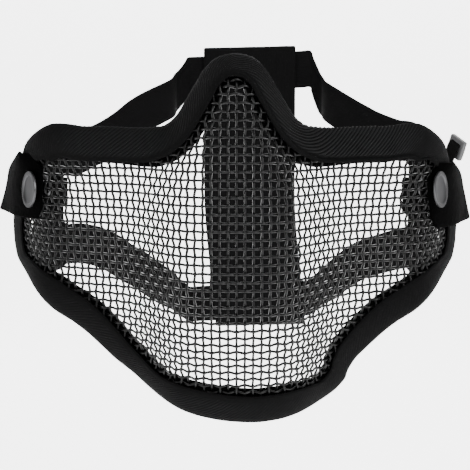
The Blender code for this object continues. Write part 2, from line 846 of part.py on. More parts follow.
def make_band(collection):
    """The upright band at the back, its ends folded over the two branches as sleeves."""
    upper, lower = strap_heights()
    top = upper + STRAP_WIDTH / 2 + SLEEVE_ROOM
    bottom = lower - STRAP_WIDTH / 2 - SLEEVE_ROOM
    away = STRAP_THICKNESS / 2 + GAP + BAND_THICKNESS / 2
    section = [(away, top - SLEEVE_LENGTH)]
    section += [(away * cos(a), top - away + away * sin(a)) for a in np.linspace(0, pi, 7)]
    section += [(-away, top + (bottom - top) * share) for share in np.linspace(0.1, 0.9, 9)]
    section += [(away * cos(a), bottom + away + away * sin(a)) for a in np.linspace(pi, 2 * pi, 7)]
    section += [(away, bottom + SLEEVE_LENGTH)]
    rows = []
    for across in np.linspace(-0.5, 0.5, 5):
        row = []
        for depth, z in section:
            lean = BAND_SWAY * smooth_step(((top - z) / (top - bottom) - 0.5) / 0.6)
            tilt = BAND_TILT * across * BAND_WIDTH
            row.append((BAND_SHIFT + lean + across * BAND_WIDTH, HARNESS_DEPTH + depth, z + tilt))
        rows.append(row)
    band = add_object("back_band", strip_mesh(rows), BLACK_ELASTIC, collection)
    thicken(band, BAND_THICKNESS)
    return band


def slider_frame():
    """Plan length, height and distance outside the harness of the slider's middle."""
    along = 0.2 * TAB_LOOP_LENGTH
    height = -TAB_DROP + 0.25 * SLIDER_HEIGHT
    ribbon_away = STRAP_THICKNESS / 2 + GAP + END_LOOP_THICKNESS / 2
    return along, height, ribbon_away + ribbon_reach()


def ribbon_reach():
    """From the slider's middle plane to the middle of the ribbon on either side of it."""
    return SLIDER_THICKNESS / 2 + 2 * GAP + END_LOOP_THICKNESS / 2


def beside_strap(across, up, out):
    """A point in the slider's own frame, tilted in the flat plane that touches the strap's front edge."""
    along, height, away = slider_frame()
    touch = upright_length() - 0.4 * STRAP_WIDTH
    ends = on_harness(1, np.array([touch - MM, touch + MM]), np.zeros(2))
    run = (ends[1] - ends[0]) / np.linalg.norm(ends[1] - ends[0])
    outwards = np.array([run[1], -run[0], 0.0])
    shift = along - touch + across * cos(SLIDER_TILT) - up * sin(SLIDER_TILT)
    rise = across * sin(SLIDER_TILT) + up * cos(SLIDER_TILT)
    return (ends[0] + ends[1]) / 2 + run * shift + outwards * (away + out) + np.array([0, 0, height + rise])


def make_slider(collection):
    """A plate with two slots, and the bar between them that the strap's end goes round."""
    bar = SLIDER_BAR
    lengths = [-SLIDER_LENGTH / 2, -SLIDER_LENGTH / 2 + bar, SLIDER_LENGTH / 2 - bar, SLIDER_LENGTH / 2]
    heights = [-SLIDER_HEIGHT / 2, -SLIDER_HEIGHT / 2 + bar, -bar / 2, bar / 2]
    heights += [SLIDER_HEIGHT / 2 - bar, SLIDER_HEIGHT / 2]
    rows = [[beside_strap(across, up, 0.0) for across in lengths] for up in heights]
    slots = {(1, 1), (3, 1)}
    slider = add_object("strap_slider", strip_mesh(rows, skip=slots), GREY_PLASTIC, collection)
    thicken(slider, SLIDER_THICKNESS)
    return slider


def make_end_loop(collection):
    """The strap's end, doubled round the slider's middle bar and down into the tab."""
    reach = ribbon_reach()
    rise = SLIDER_BAR / 2 + 2 * GAP + END_LOOP_THICKNESS / 2
    section = [(-reach, -END_LOOP_LENGTH * share) for share in (1.0, 0.5, 0.0)]
    section += [(-reach * cos(a), rise * sin(a)) for a in np.linspace(0, pi, 9)[1:-1]]
    section += [(reach, 0.0), (reach, -0.5 * SLIDER_HEIGHT)]
    rows = [
        [beside_strap(across * END_LOOP_WIDTH, up, out) for out, up in section]
        for across in (-0.5, 0.0, 0.5)
    ]
    end_loop = add_object("strap_end_loop", strip_mesh(rows), BLACK_ELASTIC, collection)
    thicken(end_loop, END_LOOP_THICKNESS)
    return end_loop


def main():
    for obj in list(bpy.data.objects):
        bpy.data.objects.remove(obj, do_unlink=True)
    parts = new_collection("mesh_face_mask")
    make_sheet(parts)
    make_binding(parts)
    make_tab("tab_left", -1, parts)
    make_tab("tab_right", 1, parts)
    make_snaps(parts)
    make_strap(parts)
    make_band(parts)
    make_slider(parts)
    make_end_loop(parts)


main()
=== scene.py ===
"""The looks of the mesh face mask: woven wire cloth, ribbed tape, napped tabs, snaps and elastic."""

from math import atan, cos, pi, radians, sin

import bmesh
import bpy
import numpy as np
from mathutils import Matrix, Vector


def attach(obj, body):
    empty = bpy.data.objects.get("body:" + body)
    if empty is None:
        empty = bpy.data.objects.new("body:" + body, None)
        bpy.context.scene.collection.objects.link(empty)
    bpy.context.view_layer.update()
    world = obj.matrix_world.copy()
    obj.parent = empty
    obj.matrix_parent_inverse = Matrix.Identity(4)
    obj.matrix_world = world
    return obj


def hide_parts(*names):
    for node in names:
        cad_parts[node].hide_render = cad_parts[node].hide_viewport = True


MM = 0.001

# Outline and pressed form, as in the part
MASK_HALF_WIDTH = 100.0 * MM
MASK_HEIGHT = 151.0 * MM
SEAT_BELOW_TOP = 7.0 * MM
CHIN_SHIFT = 7.5 * MM
FLANK_HALF_WIDTH = 33.0 * MM
FLANK_DROP = 28.0 * MM
FLANK_RUN = 12.3 * MM
CHEEK_BOW = 28.0 * MM
SIDE_BEND_INSET = 16.0 * MM
SIDE_BEND_SOFTNESS = 3.0 * MM
SIDE_SLOPE = 1.45
CHIN_BEND_HEIGHT = 46.0 * MM
CHIN_BEND_SOFTNESS = 9.0 * MM
CHIN_SLOPE = 0.45
SHEET_TO_SEAT = 2.2 * MM
BINDING_WIDTH = 14.5 * MM
GAP = 0.35 * MM
GAP_COLUMNS = 17
GAP_ROWS = 7
BAR_SHARE = 0.26

# Wire cloth
WIRE_PITCH = 3.33 * MM
WIRE_RADIUS = 0.53 * MM
WARP_CRIMP = 0.52 * MM
WEFT_CRIMP = 0.52 * MM
WIRE_SHIFT = 0.6 * MM
WIRE_STEPS = 6
WIRE_SIDES = 6
WIRE_TUCK = 5.0 * MM
WIRE_COLUMNS = 44
WIRE_ROWS_UP = 26
WIRE_ROWS_DOWN = 24

# Tape over the edge
TAPE_HEIGHT = 2.45 * MM
TAPE_PUFF = 0.16
TAPE_UNEVENNESS = 0.10 * MM
TAPE_SEAM_INSET = 0.858
TAPE_SEAM_HEIGHT = 0.80
TOP_EDGE_END = 0.42
RIB_RELIEF = 0.26 * MM
RIB_PITCH = 1.25 * MM
STITCH_LENGTH = 1.7 * MM
STITCH_PITCH = 2.6 * MM
STITCH_WIDTH = 0.45 * MM

# Side tabs
TAB_THICKNESS = 1.8 * MM
TAB_HEIGHT = 29.0 * MM
TAB_DROP = 35.3 * MM
TAB_TILT = 2.2 * MM
TAB_REACH = 17.5 * MM
TAB_INNER_STEP = 7.0 * MM
TAB_LOOP_LENGTH = 46.0 * MM
TAB_LOOP_WIDTH = 26.5 * MM
TAB_SLANT = 4.0 * MM
TAB_TAPER = 13.5 * MM
TAB_CORNER = 5.0 * MM
TAB_LEAVE_INSET = 1.5 * MM
TAB_HOVER = 3.45 * MM
# Height of the tab's outer ply over the sheet, from its front edge to where it leaves the mask
TAB_BULGE = np.array([1.7, 2.4, 3.3, 4.0, 4.3, 4.1, 3.6]) * MM
TAB_SAMPLES = 8
TAB_FOOT_STEP = 3.0 * MM
TAB_FOOT_UNEVEN = 1.0 * MM

# Snaps
SNAP_DIAMETER = 15.5 * MM
SNAP_THICKNESS = 1.1 * MM
SNAP_RIM = 1.3 * MM
SNAP_POST = 2.6 * MM
SNAP_BACK_DIAMETER = 9.0 * MM
SNAP_BACK_THICKNESS = 1.5 * MM
SNAP_SHIFT = 4.6 * MM
SNAP_TURN = radians(15)
SNAP_LIFT = radians(12)
SNAP_STUB = 1.6 * MM
SNAP_ROUNDING = 0.22 * MM
SNAP_BACK_ROUNDING = 0.2 * MM
# Rings of the cap's face from its edge inwards: width as a share of SNAP_RIM, and rise as a share of
# SNAP_THICKNESS.
CAP_FACE = (
    # width, rise
    (0.22, 0.00),
    (0.78, 0.00),
    (0.50, -0.46),
    (1.30, -0.10),
    (1.10, -0.02),
)
# Rings of the back's face from its edge inwards: width as a share of the way to the post, and rise as
# a share of SNAP_BACK_THICKNESS.
BACK_FACE = (
    # width, rise
    (0.35, 0.0),
    (0.35, -0.4),
    (0.25, 0.0),
    (0.05, 0.5),
)

# Harness
STRAP_WIDTH = 20.0 * MM
STRAP_THICKNESS = 1.5 * MM
STRAP_STRAIGHT = 4.8 * MM
HARNESS_DEPTH = 174.0 * MM
BACK_HALF_WIDTH = 37.0 * MM
BACK_SHIFT = 8.0 * MM
BACK_TILT = 0.05
UPPER_RISE = 35.2 * MM
LOWER_FALL = 40.9 * MM
TURN_RADIUS = 13.0 * MM
FOLD_SLOPE = 0.45
# Extra width on the outer side half way round the lower turn, as a share of half of STRAP_WIDTH
LOWER_CORNER = 0.55
PLAN_SAMPLES = 12
BAND_WIDTH = 50.0 * MM
BAND_THICKNESS = 1.6 * MM
BAND_SHIFT = 8.0 * MM
BAND_SWAY = 6.6 * MM
BAND_TILT = 0.022
SLEEVE_LENGTH = 31.0 * MM
SLEEVE_ROOM = 3.0 * MM
SLEEVE_SEAMS = (2.0 * MM, 4.5 * MM)

# Slider and the strap end that holds it
SLIDER_LENGTH = 10.0 * MM
SLIDER_HEIGHT = 9.4 * MM
SLIDER_THICKNESS = 2.4 * MM
SLIDER_BAR = 2.2 * MM
SLIDER_TILT = radians(25)
SLIDER_ROUNDING = 0.55 * MM
END_LOOP_WIDTH = 6.9 * MM
END_LOOP_THICKNESS = 1.0 * MM
END_LOOP_LENGTH = 23.0 * MM

# Camera, from the photograph
CAMERA_HEIGHT = -12.0 * MM
CAMERA_DISTANCE = 423.0 * MM
FOCAL_PIXELS = 1100.0
PICTURE_PIXELS = 470.0
HORIZON_PIXEL = 102.0

# Half outline from the top of the nose to the chin, as shares of the half width and of the height.
NOSE_OUTLINE = (
    # side, fall
    (0.000, 0.000),
    (0.060, 0.008),
    (0.104, 0.028),
    (0.142, 0.066),
    (0.180, 0.107),
    (0.225, 0.154),
    (0.272, 0.183),
    (0.330, 0.191),
    (0.410, 0.193),
    (0.515, 0.190),
    (0.625, 0.190),
    (0.700, 0.184),
    (0.770, 0.186),
    (0.825, 0.203),
    (0.872, 0.226),
    (0.905, 0.254),
)
SIDE_OUTLINE = (
    # side, fall
    (0.945, 0.315),
    (0.985, 0.395),
    (1.004, 0.470),
    (1.002, 0.535),
    (0.983, 0.588),
)
JAW_OUTLINE = (
    # side, fall
    (0.917, 0.634),
    (0.860, 0.676),
    (0.785, 0.718),
    (0.695, 0.752),
    (0.627, 0.787),
    (0.540, 0.843),
    (0.470, 0.888),
    (0.414, 0.926),
    (0.335, 0.957),
    (0.240, 0.978),
    (0.120, 0.993),
    (0.000, 1.000),
)

# The middle of the flank: half width, height, drop and run as shares of their named sizes.
FLANK = (
    # half width, height, drop, run
    (0.00, 0.006, 0.64, 0.57),
    (0.24, 0.023, 0.64, 0.57),
    (0.39, 0.079, 0.66, 0.59),
    (0.58, 0.171, 0.75, 0.69),
    (0.82, 0.264, 0.87, 0.81),
    (0.97, 0.356, 0.96, 0.97),
    (1.00, 0.494, 1.00, 1.00),
    (1.00, 0.659, 1.00, 1.00),
    (1.00, 0.824, 1.00, 0.98),
    (1.00, 1.100, 1.00, 0.96),
)

# The tape's section, from the front lip's inner corner over the outside to the rear lip's inner
# corner: inset as a share of BINDING_WIDTH, height as a share of TAPE_HEIGHT, and whether the ribs
# show there.
TAPE_SECTION = (
    # inset, height, ribs
    (0.955, 0.42, 0.0),
    (0.990, 0.46, 0.0),
    (1.008, 0.64, 0.0),
    (0.994, 0.84, 0.0),
    (0.955, 0.95, 0.0),
    (0.910, 0.94, 0.0),
    (0.872, 0.78, 0.0),
    (0.845, 0.74, 0.0),
    (0.810, 0.86, 0.6),
    (0.730, 0.96, 1.0),
    (0.580, 1.00, 1.0),
    (0.420, 0.99, 1.0),
    (0.280, 0.92, 1.0),
    (0.160, 0.78, 1.0),
    (0.075, 0.58, 1.0),
    (0.020, 0.30, 1.0),
    (0.000, 0.00, 1.0),
    (0.020, -0.30, 1.0),
    (0.075, -0.57, 1.0),
    (0.160, -0.74, 1.0),
    (0.320, -0.84, 1.0),
    (0.620, -0.86, 1.0),
    (0.960, -0.84, 0.6),
    (1.090, -0.76, 0.0),
    (1.120, -0.62, 0.0),
    (1.090, -0.45, 0.0),
    (1.030, -0.42, 0.0),
)
# Where the tape has no rolled lip: inset and height, as in the section.
FLAT_LIP = (
    # inset, height
    (0.78, 0.93),
    (0.87, 0.90),
    (0.95, 0.84),
    (0.99, 0.72),
    (1.01, 0.62),
)
# The slot that the wire cloth's edge sits in, from the rear lip back to the front lip.
TAPE_SLOT = (
    # inset, height
    (0.60, -0.42),
    (0.28, -0.34),
    (0.19, 0.00),
    (0.28, 0.34),
    (0.60, 0.42),
)

# The ribs along the top from left to right, and round below from right to left, at places across as
# shares of MASK_HALF_WIDTH: angle outwards from the tape's run in degrees, and depth of relief.
TOP_RIBS = (
    # place, angle, relief
    (-1.00, 45, 0.03),
    (-0.72, 44, 0.15),
    (-0.62, 38, 0.45),
    (-0.34, 38, 0.45),
    (-0.26, 42, 0.25),
    (-0.05, 40, 0.25),
    (0.03, 10, 0.60),
    (0.10, 20, 0.85),
    (0.20, 24, 1.00),
    (0.28, 30, 1.00),
    (0.34, 44, 1.00),
    (0.40, 49, 1.00),
    (0.66, 50, 1.00),
    (0.74, 50, 0.40),
    (0.79, 50, 0.06),
    (1.00, 45, 0.03),
)
LOW_RIBS = (
    # place, angle, relief
    (1.00, 45, 0.03),
    (0.70, 45, 0.08),
    (0.10, 40, 0.12),
    (-0.10, 38, 0.32),
    (-0.50, 40, 0.28),
    (-0.85, 44, 0.12),
    (-1.00, 45, 0.03),
)

# The tab's loop seen from above, from the mask's edge out, round the strap and back to the edge:
# along as a share of TAB_LOOP_LENGTH, across as a share of TAB_LOOP_WIDTH.
TAB_LOOP = (
    # along, across
    (0.226, 0.262),
    (0.411, 0.384),
    (0.574, 0.408),
    (0.748, 0.268),
    (0.889, -0.042),
    (1.000, -0.390),
    (0.950, -0.550),
    (0.748, -0.480),
    (0.530, -0.380),
    (0.335, -0.245),
    (0.183, -0.180),
)

# The harness seen from above, and its branches from the side, as in the part.
HARNESS_PLAN = (
    # along, right, left
    (0.000, 0.000, 0.000),
    (0.057, 0.020, 0.016),
    (0.123, 0.065, 0.051),
    (0.200, 0.145, 0.115),
    (0.300, 0.260, 0.215),
    (0.470, 0.460, 0.430),
    (0.740, 0.790, 0.780),
    (0.870, 0.930, 0.930),
    (0.960, 0.960, 0.960),
)
UPPER_BRANCH = (
    # back, right, left
    (0.00, 0.000, -0.180),
    (0.05, 0.003, -0.205),
    (0.10, 0.018, -0.175),
    (0.17, 0.052, -0.105),
    (0.25, 0.094, -0.035),
    (0.33, 0.145, 0.055),
    (0.41, 0.207, 0.165),
    (0.50, 0.277, 0.312),
    (0.60, 0.360, 0.432),
    (0.70, 0.444, 0.528),
    (0.80, 0.525, 0.618),
    (0.87, 0.573, 0.688),
    (0.92, 0.622, 0.748),
    (0.96, 0.775, 0.850),
    (1.00, 1.000, 1.000),
)
LOWER_BRANCH = (
    # back, right, left
    (0.00, 0.045, -0.012),
    (0.08, 0.085, -0.002),
    (0.20, 0.160, 0.058),
    (0.32, 0.240, 0.170),
    (0.42, 0.318, 0.303),
    (0.51, 0.416, 0.400),
    (0.60, 0.528, 0.525),
    (0.70, 0.665, 0.655),
    (0.80, 0.760, 0.760),
    (0.90, 0.850, 0.858),
    (1.00, 1.000, 1.000),
)


# Curves and the pressed surface


def catmull_rom(points, samples=16):
    """A smooth open curve through the points, as an array."""
    points = np.asarray(points, float)
    ends = np.vstack([2 * points[0] - points[1], points, 2 * points[-1] - points[-2]])
    parts = []
    for i in range(1, len(ends) - 2):
        p0, p1, p2, p3 = ends[i - 1 : i + 3]
        t = np.linspace(0, 1, samples, endpoint=False)[:, None]
        curve = 2 * p1 + (p2 - p0) * t + (2 * p0 - 5 * p1 + 4 * p2 - p3) * t**2
        parts.append(0.5 * (curve + (3 * p1 - 3 * p2 + p3 - p0) * t**3))
    parts.append(points[-1:])
    return np.vstack(parts)


def closed_curve(points, samples):
    """A smooth closed curve through the points, its last point one step before the first."""
    wrapped = np.vstack([points[-2:], points, points[:3]])
    curve = catmull_rom(wrapped, samples)
    return curve[2 * samples : (2 + len(points)) * samples]


def lengths_along(points):
    steps = np.linalg.norm(np.diff(points, axis=0), axis=1)
    return np.concatenate([[0], np.cumsum(steps)])


def at_lengths(values, wanted, along=None):
    """Values of a polyline, or values given at lengths along one, at the wanted lengths."""
    along = lengths_along(values) if along is None else along
    return np.column_stack([np.interp(wanted, along, column) for column in values.T])


def smooth_step(value):
    value = np.clip(value, 0, 1)
    return value * value * (3 - 2 * value)


def chin_offset(z):
    bottom = SEAT_BELOW_TOP - MASK_HEIGHT
    return CHIN_SHIFT * smooth_step((bottom + 0.155 * MASK_HEIGHT - z) / (0.12 * MASK_HEIGHT))


FLANK_LINE = catmull_rom(
    [
        (w * FLANK_HALF_WIDTH, -h * MASK_HEIGHT, drop * FLANK_DROP, run * FLANK_RUN)
        for w, h, drop, run in FLANK
    ],
    samples=5,
)


def distance_to_flank(x, z):
    """Signed distance from the middle of the flank, negative on the nose and mouth."""
    best = np.full(x.shape, np.inf)
    for (x0, z0), (x1, z1) in zip(FLANK_LINE[:-1, :2], FLANK_LINE[1:, :2]):
        dx, dz = x1 - x0, z1 - z0
        t = np.clip(((x - x0) * dx + (z - z0) * dz) / (dx * dx + dz * dz), 0, 1)
        best = np.minimum(best, np.hypot(x - x0 - t * dx, z - z0 - t * dz))
    heights = FLANK_LINE[::-1, 1]
    inside = (x < np.interp(z, heights, FLANK_LINE[::-1, 0])) & (z < heights[-1])
    return np.where(inside, -best, best)


def pressed_depth(x, z):
    """Depth behind the flat front: flanks that drop to the cheeks, bent sides and a tucked chin."""
    z = np.asarray(z, float)
    x = np.abs(np.asarray(x, float) + 0 * z)
    z = z + 0 * x
    heights = FLANK_LINE[::-1, 1]
    drop = np.interp(z, heights, FLANK_LINE[::-1, 2])
    run = np.interp(z, heights, FLANK_LINE[::-1, 3])
    flank = drop * 0.5 * (1 + np.tanh(distance_to_flank(x, z) / run))
    bow = CHEEK_BOW * (x / MASK_HALF_WIDTH) ** 2
    past_bend = (x - (MASK_HALF_WIDTH - SIDE_BEND_INSET)) / SIDE_BEND_SOFTNESS
    side = SIDE_SLOPE * SIDE_BEND_SOFTNESS * np.log1p(np.exp(past_bend))
    below = SEAT_BELOW_TOP - MASK_HEIGHT + CHIN_BEND_HEIGHT - z
    chin = 0.5 * CHIN_SLOPE * (below + np.hypot(below, CHIN_BEND_SOFTNESS))
    return flank + bow + side + chin


BRIDGE_DEPTH = float(pressed_depth(0.0, 0.0)) + SHEET_TO_SEAT


def face_y(x, z):
    return pressed_depth(x, z) - BRIDGE_DEPTH


def face_points(x, z, height=0.0):
    """Points a given height in front of the pressed surface, and its normals."""
    x, z = np.asarray(x, float), np.asarray(z, float)
    step = 0.05 * MM
    slope_x = (face_y(x + step, z) - face_y(x - step, z)) / (2 * step)
    slope_z = (face_y(x, z + step) - face_y(x, z - step)) / (2 * step)
    normals = np.stack([slope_x, -np.ones_like(slope_x), slope_z], axis=-1)
    normals /= np.linalg.norm(normals, axis=-1, keepdims=True)
    points = np.stack([x, face_y(x, z), z], axis=-1)
    return points + normals * np.asarray(height)[..., None], normals


def outline_sides():
    """The outline's four sides as curves in x and z, from left to right or from top to bottom."""
    fine = 16
    shares = NOSE_OUTLINE + SIDE_OUTLINE + JAW_OUTLINE
    half = catmull_rom([(s * MASK_HALF_WIDTH, SEAT_BELOW_TOP - f * MASK_HEIGHT) for s, f in shares], fine)
    upper = (len(NOSE_OUTLINE) - 1) * fine
    lower = upper + len(SIDE_OUTLINE) * fine
    nose, side, jaw = half[: upper + 1], half[upper : lower + 1], half[lower:]
    mirrored = np.array([-1.0, 1.0])
    sides = {
        "top": np.vstack([(nose * mirrored)[::-1], nose[1:]]),
        "right": side,
        "bottom": np.vstack([jaw * mirrored, jaw[::-1][1:]]),
        "left": side * mirrored,
    }
    for curve in sides.values():
        curve[:, 0] += chin_offset(curve[:, 1])
    return sides


def surface_lengths(curve):
    points, _ = face_points(curve[:, 0], curve[:, 1])
    return lengths_along(points)


def gap_pattern(count, cuts):
    bar, gap = BAR_SHARE / count, (1 - BAR_SHARE * (count - 1) / count) / count
    shares, place = [0.0], 0.0
    for i in range(count):
        for _ in range(cuts):
            place += gap / cuts
            shares.append(place)
        if i < count - 1:
            place += bar
            shares.append(place)
    return np.array(shares)


def rim_stations():
    """Stations round the outline and the direction inwards at each, as a closed loop."""
    sides = outline_sides()
    across, down = gap_pattern(GAP_COLUMNS, 2), gap_pattern(GAP_ROWS, 1)
    loops = []
    for name, shares in (("top", across), ("right", down), ("bottom", across), ("left", down)):
        curve = sides[name]
        along = surface_lengths(curve)
        points = at_lengths(curve, shares * along[-1], along)
        if name in ("bottom", "left"):
            points = points[::-1]
        loops.append(points[:-1])
    rim = np.vstack(loops)
    tangent = np.roll(rim, -1, axis=0) - np.roll(rim, 1, axis=0)
    tangent /= np.linalg.norm(tangent, axis=1, keepdims=True)
    inward = np.column_stack([tangent[:, 1], -tangent[:, 0]])
    for _ in range(6):
        inward = 0.5 * inward + 0.25 * (np.roll(inward, 1, axis=0) + np.roll(inward, -1, axis=0))
        inward /= np.linalg.norm(inward, axis=1, keepdims=True)
    return rim, inward


def inset_track(rim, inward, inset, steps=24):
    """Each station's way inwards, in even steps measured along the surface."""
    track = [rim.copy()]
    probe_step = 0.1 * MM
    for _ in range(steps):
        points = track[-1]
        probe = points + inward * probe_step
        rise = (face_y(probe[:, 0], probe[:, 1]) - face_y(points[:, 0], points[:, 1])) / probe_step
        track.append(points + inward * (inset / steps / np.sqrt(1 + rise**2))[:, None])
    return np.stack(track, axis=1)


def rim_x(z):
    """Half width of the outline's side at a height."""
    side = outline_sides()["right"]
    return float(np.interp(-z, -side[:, 1], side[:, 0]))


# Meshes


def add_mesh(name, vertices, faces, material, uv_maps=None):
    """A smooth object from vertices and faces, with UV pairs for each face's corners."""
    mesh = bpy.data.meshes.new(name)
    mesh.from_pydata(np.asarray(vertices).tolist(), [], [list(face) for face in faces])
    for layer_name, pairs in (uv_maps or {}).items():
        layer = mesh.uv_layers.new(name=layer_name)
        layer.data.foreach_set("uv", np.asarray(pairs, np.float32).ravel())
    mesh.materials.append(material)
    mesh.shade_smooth()
    piece = bpy.data.objects.new(name, mesh)
    bpy.context.scene.collection.objects.link(piece)
    return piece


def face_outwards(piece):
    """Turns a closed body's faces outwards."""
    bm = bmesh.new()
    bm.from_mesh(piece.data)
    bmesh.ops.recalc_face_normals(bm, faces=bm.faces)
    bm.to_mesh(piece.data)
    bm.free()
    return piece


def cell_corners(rows, columns, closed_rows=False, closed_columns=False):
    """Row and column numbers of the corners of a grid's cells, running on past a closed end."""
    i, j = np.meshgrid(
        np.arange(rows if closed_rows else rows - 1),
        np.arange(columns if closed_columns else columns - 1),
        indexing="ij",
    )
    row = np.stack([i, i, i + 1, i + 1], axis=-1).reshape(-1, 4)
    column = np.stack([j, j + 1, j + 1, j], axis=-1).reshape(-1, 4)
    return row, column


def rounded_places(length, step, radius):
    """Places along a length, evenly spaced, and close together towards its two rounded ends."""
    ends = radius * (1 - np.cos(np.linspace(0, pi / 2, 5)))
    middle = np.linspace(radius, length - radius, max(2, round((length - 2 * radius) / step) + 1))
    return np.concatenate([ends[:-1], middle, length - ends[:-1][::-1]])


def roundness(places, radius):
    """Share of the full thickness at each place, falling to nothing at both rounded ends."""
    inwards = np.clip(np.minimum(places, places[-1] - places) / radius, 0, 1)
    return np.sqrt(1 - (1 - inwards) ** 2)


def smooth_rows(grid, wanted, closed=False):
    """A grid's rows at the wanted lengths along it, on smooth curves through its own rows."""
    grid = np.asarray(grid, float)
    flat = grid.reshape(len(grid), -1)
    if closed:
        fine = closed_curve(flat, 6)
        fine = np.vstack([fine, fine[:1]])
    else:
        fine = catmull_rom(flat, 6)
    shaped = fine.reshape(len(fine), -1, 3)
    along = lengths_along(shaped[:, shaped.shape[1] // 2])
    rows = at_lengths(fine, np.asarray(wanted) * along[-1], along)
    return rows.reshape(len(rows), *grid.shape[1:]), along[-1]


def cloth_body(name, grid, thickness, material, u, v, closed=False, relief=None):
    """A closed body of cloth round a grid of middle points, its open edges rounded."""
    rows, columns = grid.shape[:2]
    along = np.roll(grid, -1, axis=0) - np.roll(grid, 1, axis=0) if closed else np.gradient(grid, axis=0)
    normals = np.cross(along, np.gradient(grid, axis=1))
    normals /= np.linalg.norm(normals, axis=-1, keepdims=True)
    half = thickness / 2 * np.tile(roundness(v, thickness / 2), (rows, 1))
    if not closed:
        half = half * roundness(u, thickness / 2)[:, None]
    front_half = half if relief is None else half * (1 + relief[0])
    back_half = half if relief is None else half * (1 + relief[1])
    front = grid + normals * front_half[..., None]
    back = grid - normals * back_half[..., None]
    number = np.arange(rows * columns).reshape(rows, columns)
    inner = np.ones((rows, columns), bool)
    inner[:, [0, -1]] = False
    if not closed:
        inner[[0, -1]] = False
    behind = number.copy()
    behind[inner] = rows * columns + np.arange(inner.sum())
    row, column = cell_corners(rows, columns, closed_rows=closed)
    faces = np.vstack(
        [number[row % rows, column], behind[row % rows, column][:, ::-1]],
    )
    u_ends = np.append(u, u[-1] + (u[1] - u[0])) if closed else u
    pairs = np.stack([u_ends[row], v[column]], axis=-1)
    uv_maps = {"along": np.vstack([pairs, pairs[:, ::-1]])}
    vertices = np.vstack([front.reshape(-1, 3), back[inner]])
    return face_outwards(add_mesh(name, vertices, faces, material, uv_maps))


def waves(u, v, wave_length, seed):
    """Gentle unevenness from -1 to 1 over a surface, from a few slanting waves."""
    draw = np.random.default_rng(seed)
    total = 0.0
    for _ in range(5):
        angle, phase = draw.uniform(0, pi), draw.uniform(0, 2 * pi)
        stretch = draw.uniform(0.7, 1.5)
        turned = u * cos(angle) + v * sin(angle)
        total = total + np.sin(2 * pi * turned / (wave_length * stretch) + phase)
    return total / 5


# Wire cloth


def points_in_loop(points, loop):
    """True for each point that lies inside a closed loop, both in x and z."""
    x, z = points[..., 0], points[..., 1]
    inside = np.zeros(x.shape, bool)
    for (x0, z0), (x1, z1) in zip(loop, np.roll(loop, -1, axis=0)):
        crosses = (z0 > z) != (z1 > z)
        with np.errstate(divide="ignore", invalid="ignore"):
            at = x0 + (z - z0) * (x1 - x0) / (z1 - z0)
        inside ^= crosses & (x < at)
    return inside


def march(start, direction, count):
    """Points a wire pitch apart along the surface from a start, keeping to a plan direction."""
    points = [np.array(start, float)]
    direction = np.array(direction, float)
    for _ in range(count):
        here = points[-1]
        step = WIRE_PITCH
        for _ in range(8):
            ahead = here + direction * step
            chord = np.hypot(step, float(face_y(*ahead) - face_y(*here)))
            step *= WIRE_PITCH / chord
        points.append(here + direction * step)
    return np.array(points)


def wire_net(columns, up, down):
    """Crossings of the cloth on one half, every side of every mesh one pitch long."""
    middle = -0.5 * MASK_HEIGHT
    net = np.full((columns + 1, up + down + 1, 2), np.nan)
    spine = np.vstack([march((0, middle), (0, 1), up)[:0:-1], march((0, middle), (0, -1), down)])
    net[0] = spine
    net[:, up] = march((0, middle), (1, 0), columns)
    for way in (-1, 1):
        rows = up if way < 0 else down
        for diagonal in range(2, columns + rows + 1):
            i = np.arange(max(1, diagonal - rows), min(columns, diagonal - 1) + 1)
            j = up + way * (diagonal - i)
            beside, before = net[i - 1, j], net[i, j - way]
            guess = beside + before - net[i - 1, j - way]
            net[i, j] = settle(guess, beside, before)
    return net


def settle(guess, first, second):
    """Moves each guess along the surface until it is one pitch from both of its neighbours."""
    first_y, second_y = face_y(*first.T), face_y(*second.T)
    point = guess.copy()
    step = 0.02 * MM
    for _ in range(7):
        y = face_y(*point.T)
        slope_x = (face_y(point[:, 0] + step, point[:, 1]) - y) / step
        slope_z = (face_y(point[:, 0], point[:, 1] + step) - y) / step
        rows = []
        for other, other_y in ((first, first_y), (second, second_y)):
            away = point - other
            rise = y - other_y
            miss = (away**2).sum(1) + rise**2 - WIRE_PITCH**2
            rows.append((2 * (away[:, 0] + rise * slope_x), 2 * (away[:, 1] + rise * slope_z), miss))
        (a, b, e), (c, d, f) = rows
        size = a * d - b * c
        size = np.where(np.abs(size) < 1e-9, 1e-9, size)
        move = np.column_stack([(d * e - b * f) / size, (a * f - c * e) / size])
        length = np.linalg.norm(move, axis=1, keepdims=True)
        point = point - move * np.minimum(1, 0.5 * WIRE_PITCH / np.maximum(length, 1e-9))
    return point


def tube(path, normals, radius, sides):
    """Vertices and faces of a round wire along a path, closed at both ends."""
    tangents = np.gradient(path, axis=0)
    tangents /= np.linalg.norm(tangents, axis=1, keepdims=True)
    across = np.cross(tangents, normals)
    across /= np.linalg.norm(across, axis=1, keepdims=True)
    upward = np.cross(across, tangents)
    angles = np.arange(sides) * 2 * pi / sides
    rings = (
        path[:, None]
        + radius * np.cos(angles)[None, :, None] * upward[:, None]
        + radius * np.sin(angles)[None, :, None] * across[:, None]
    )
    row, column = cell_corners(len(path), sides, closed_columns=True)
    faces = (row * sides + column % sides)[:, ::-1].tolist()
    faces.append(list(range(sides)))
    faces.append([(len(path) - 1) * sides + k for k in range(sides)][::-1])
    return rings.reshape(-1, 3), faces


def joined(parts):
    """Vertices and faces of many small bodies as one mesh's."""
    vertices, faces, count = [], [], 0
    for new, cells in parts:
        vertices.append(new)
        faces.extend([count + v for v in cell] for cell in cells)
        count += len(new)
    return np.vstack(vertices), faces


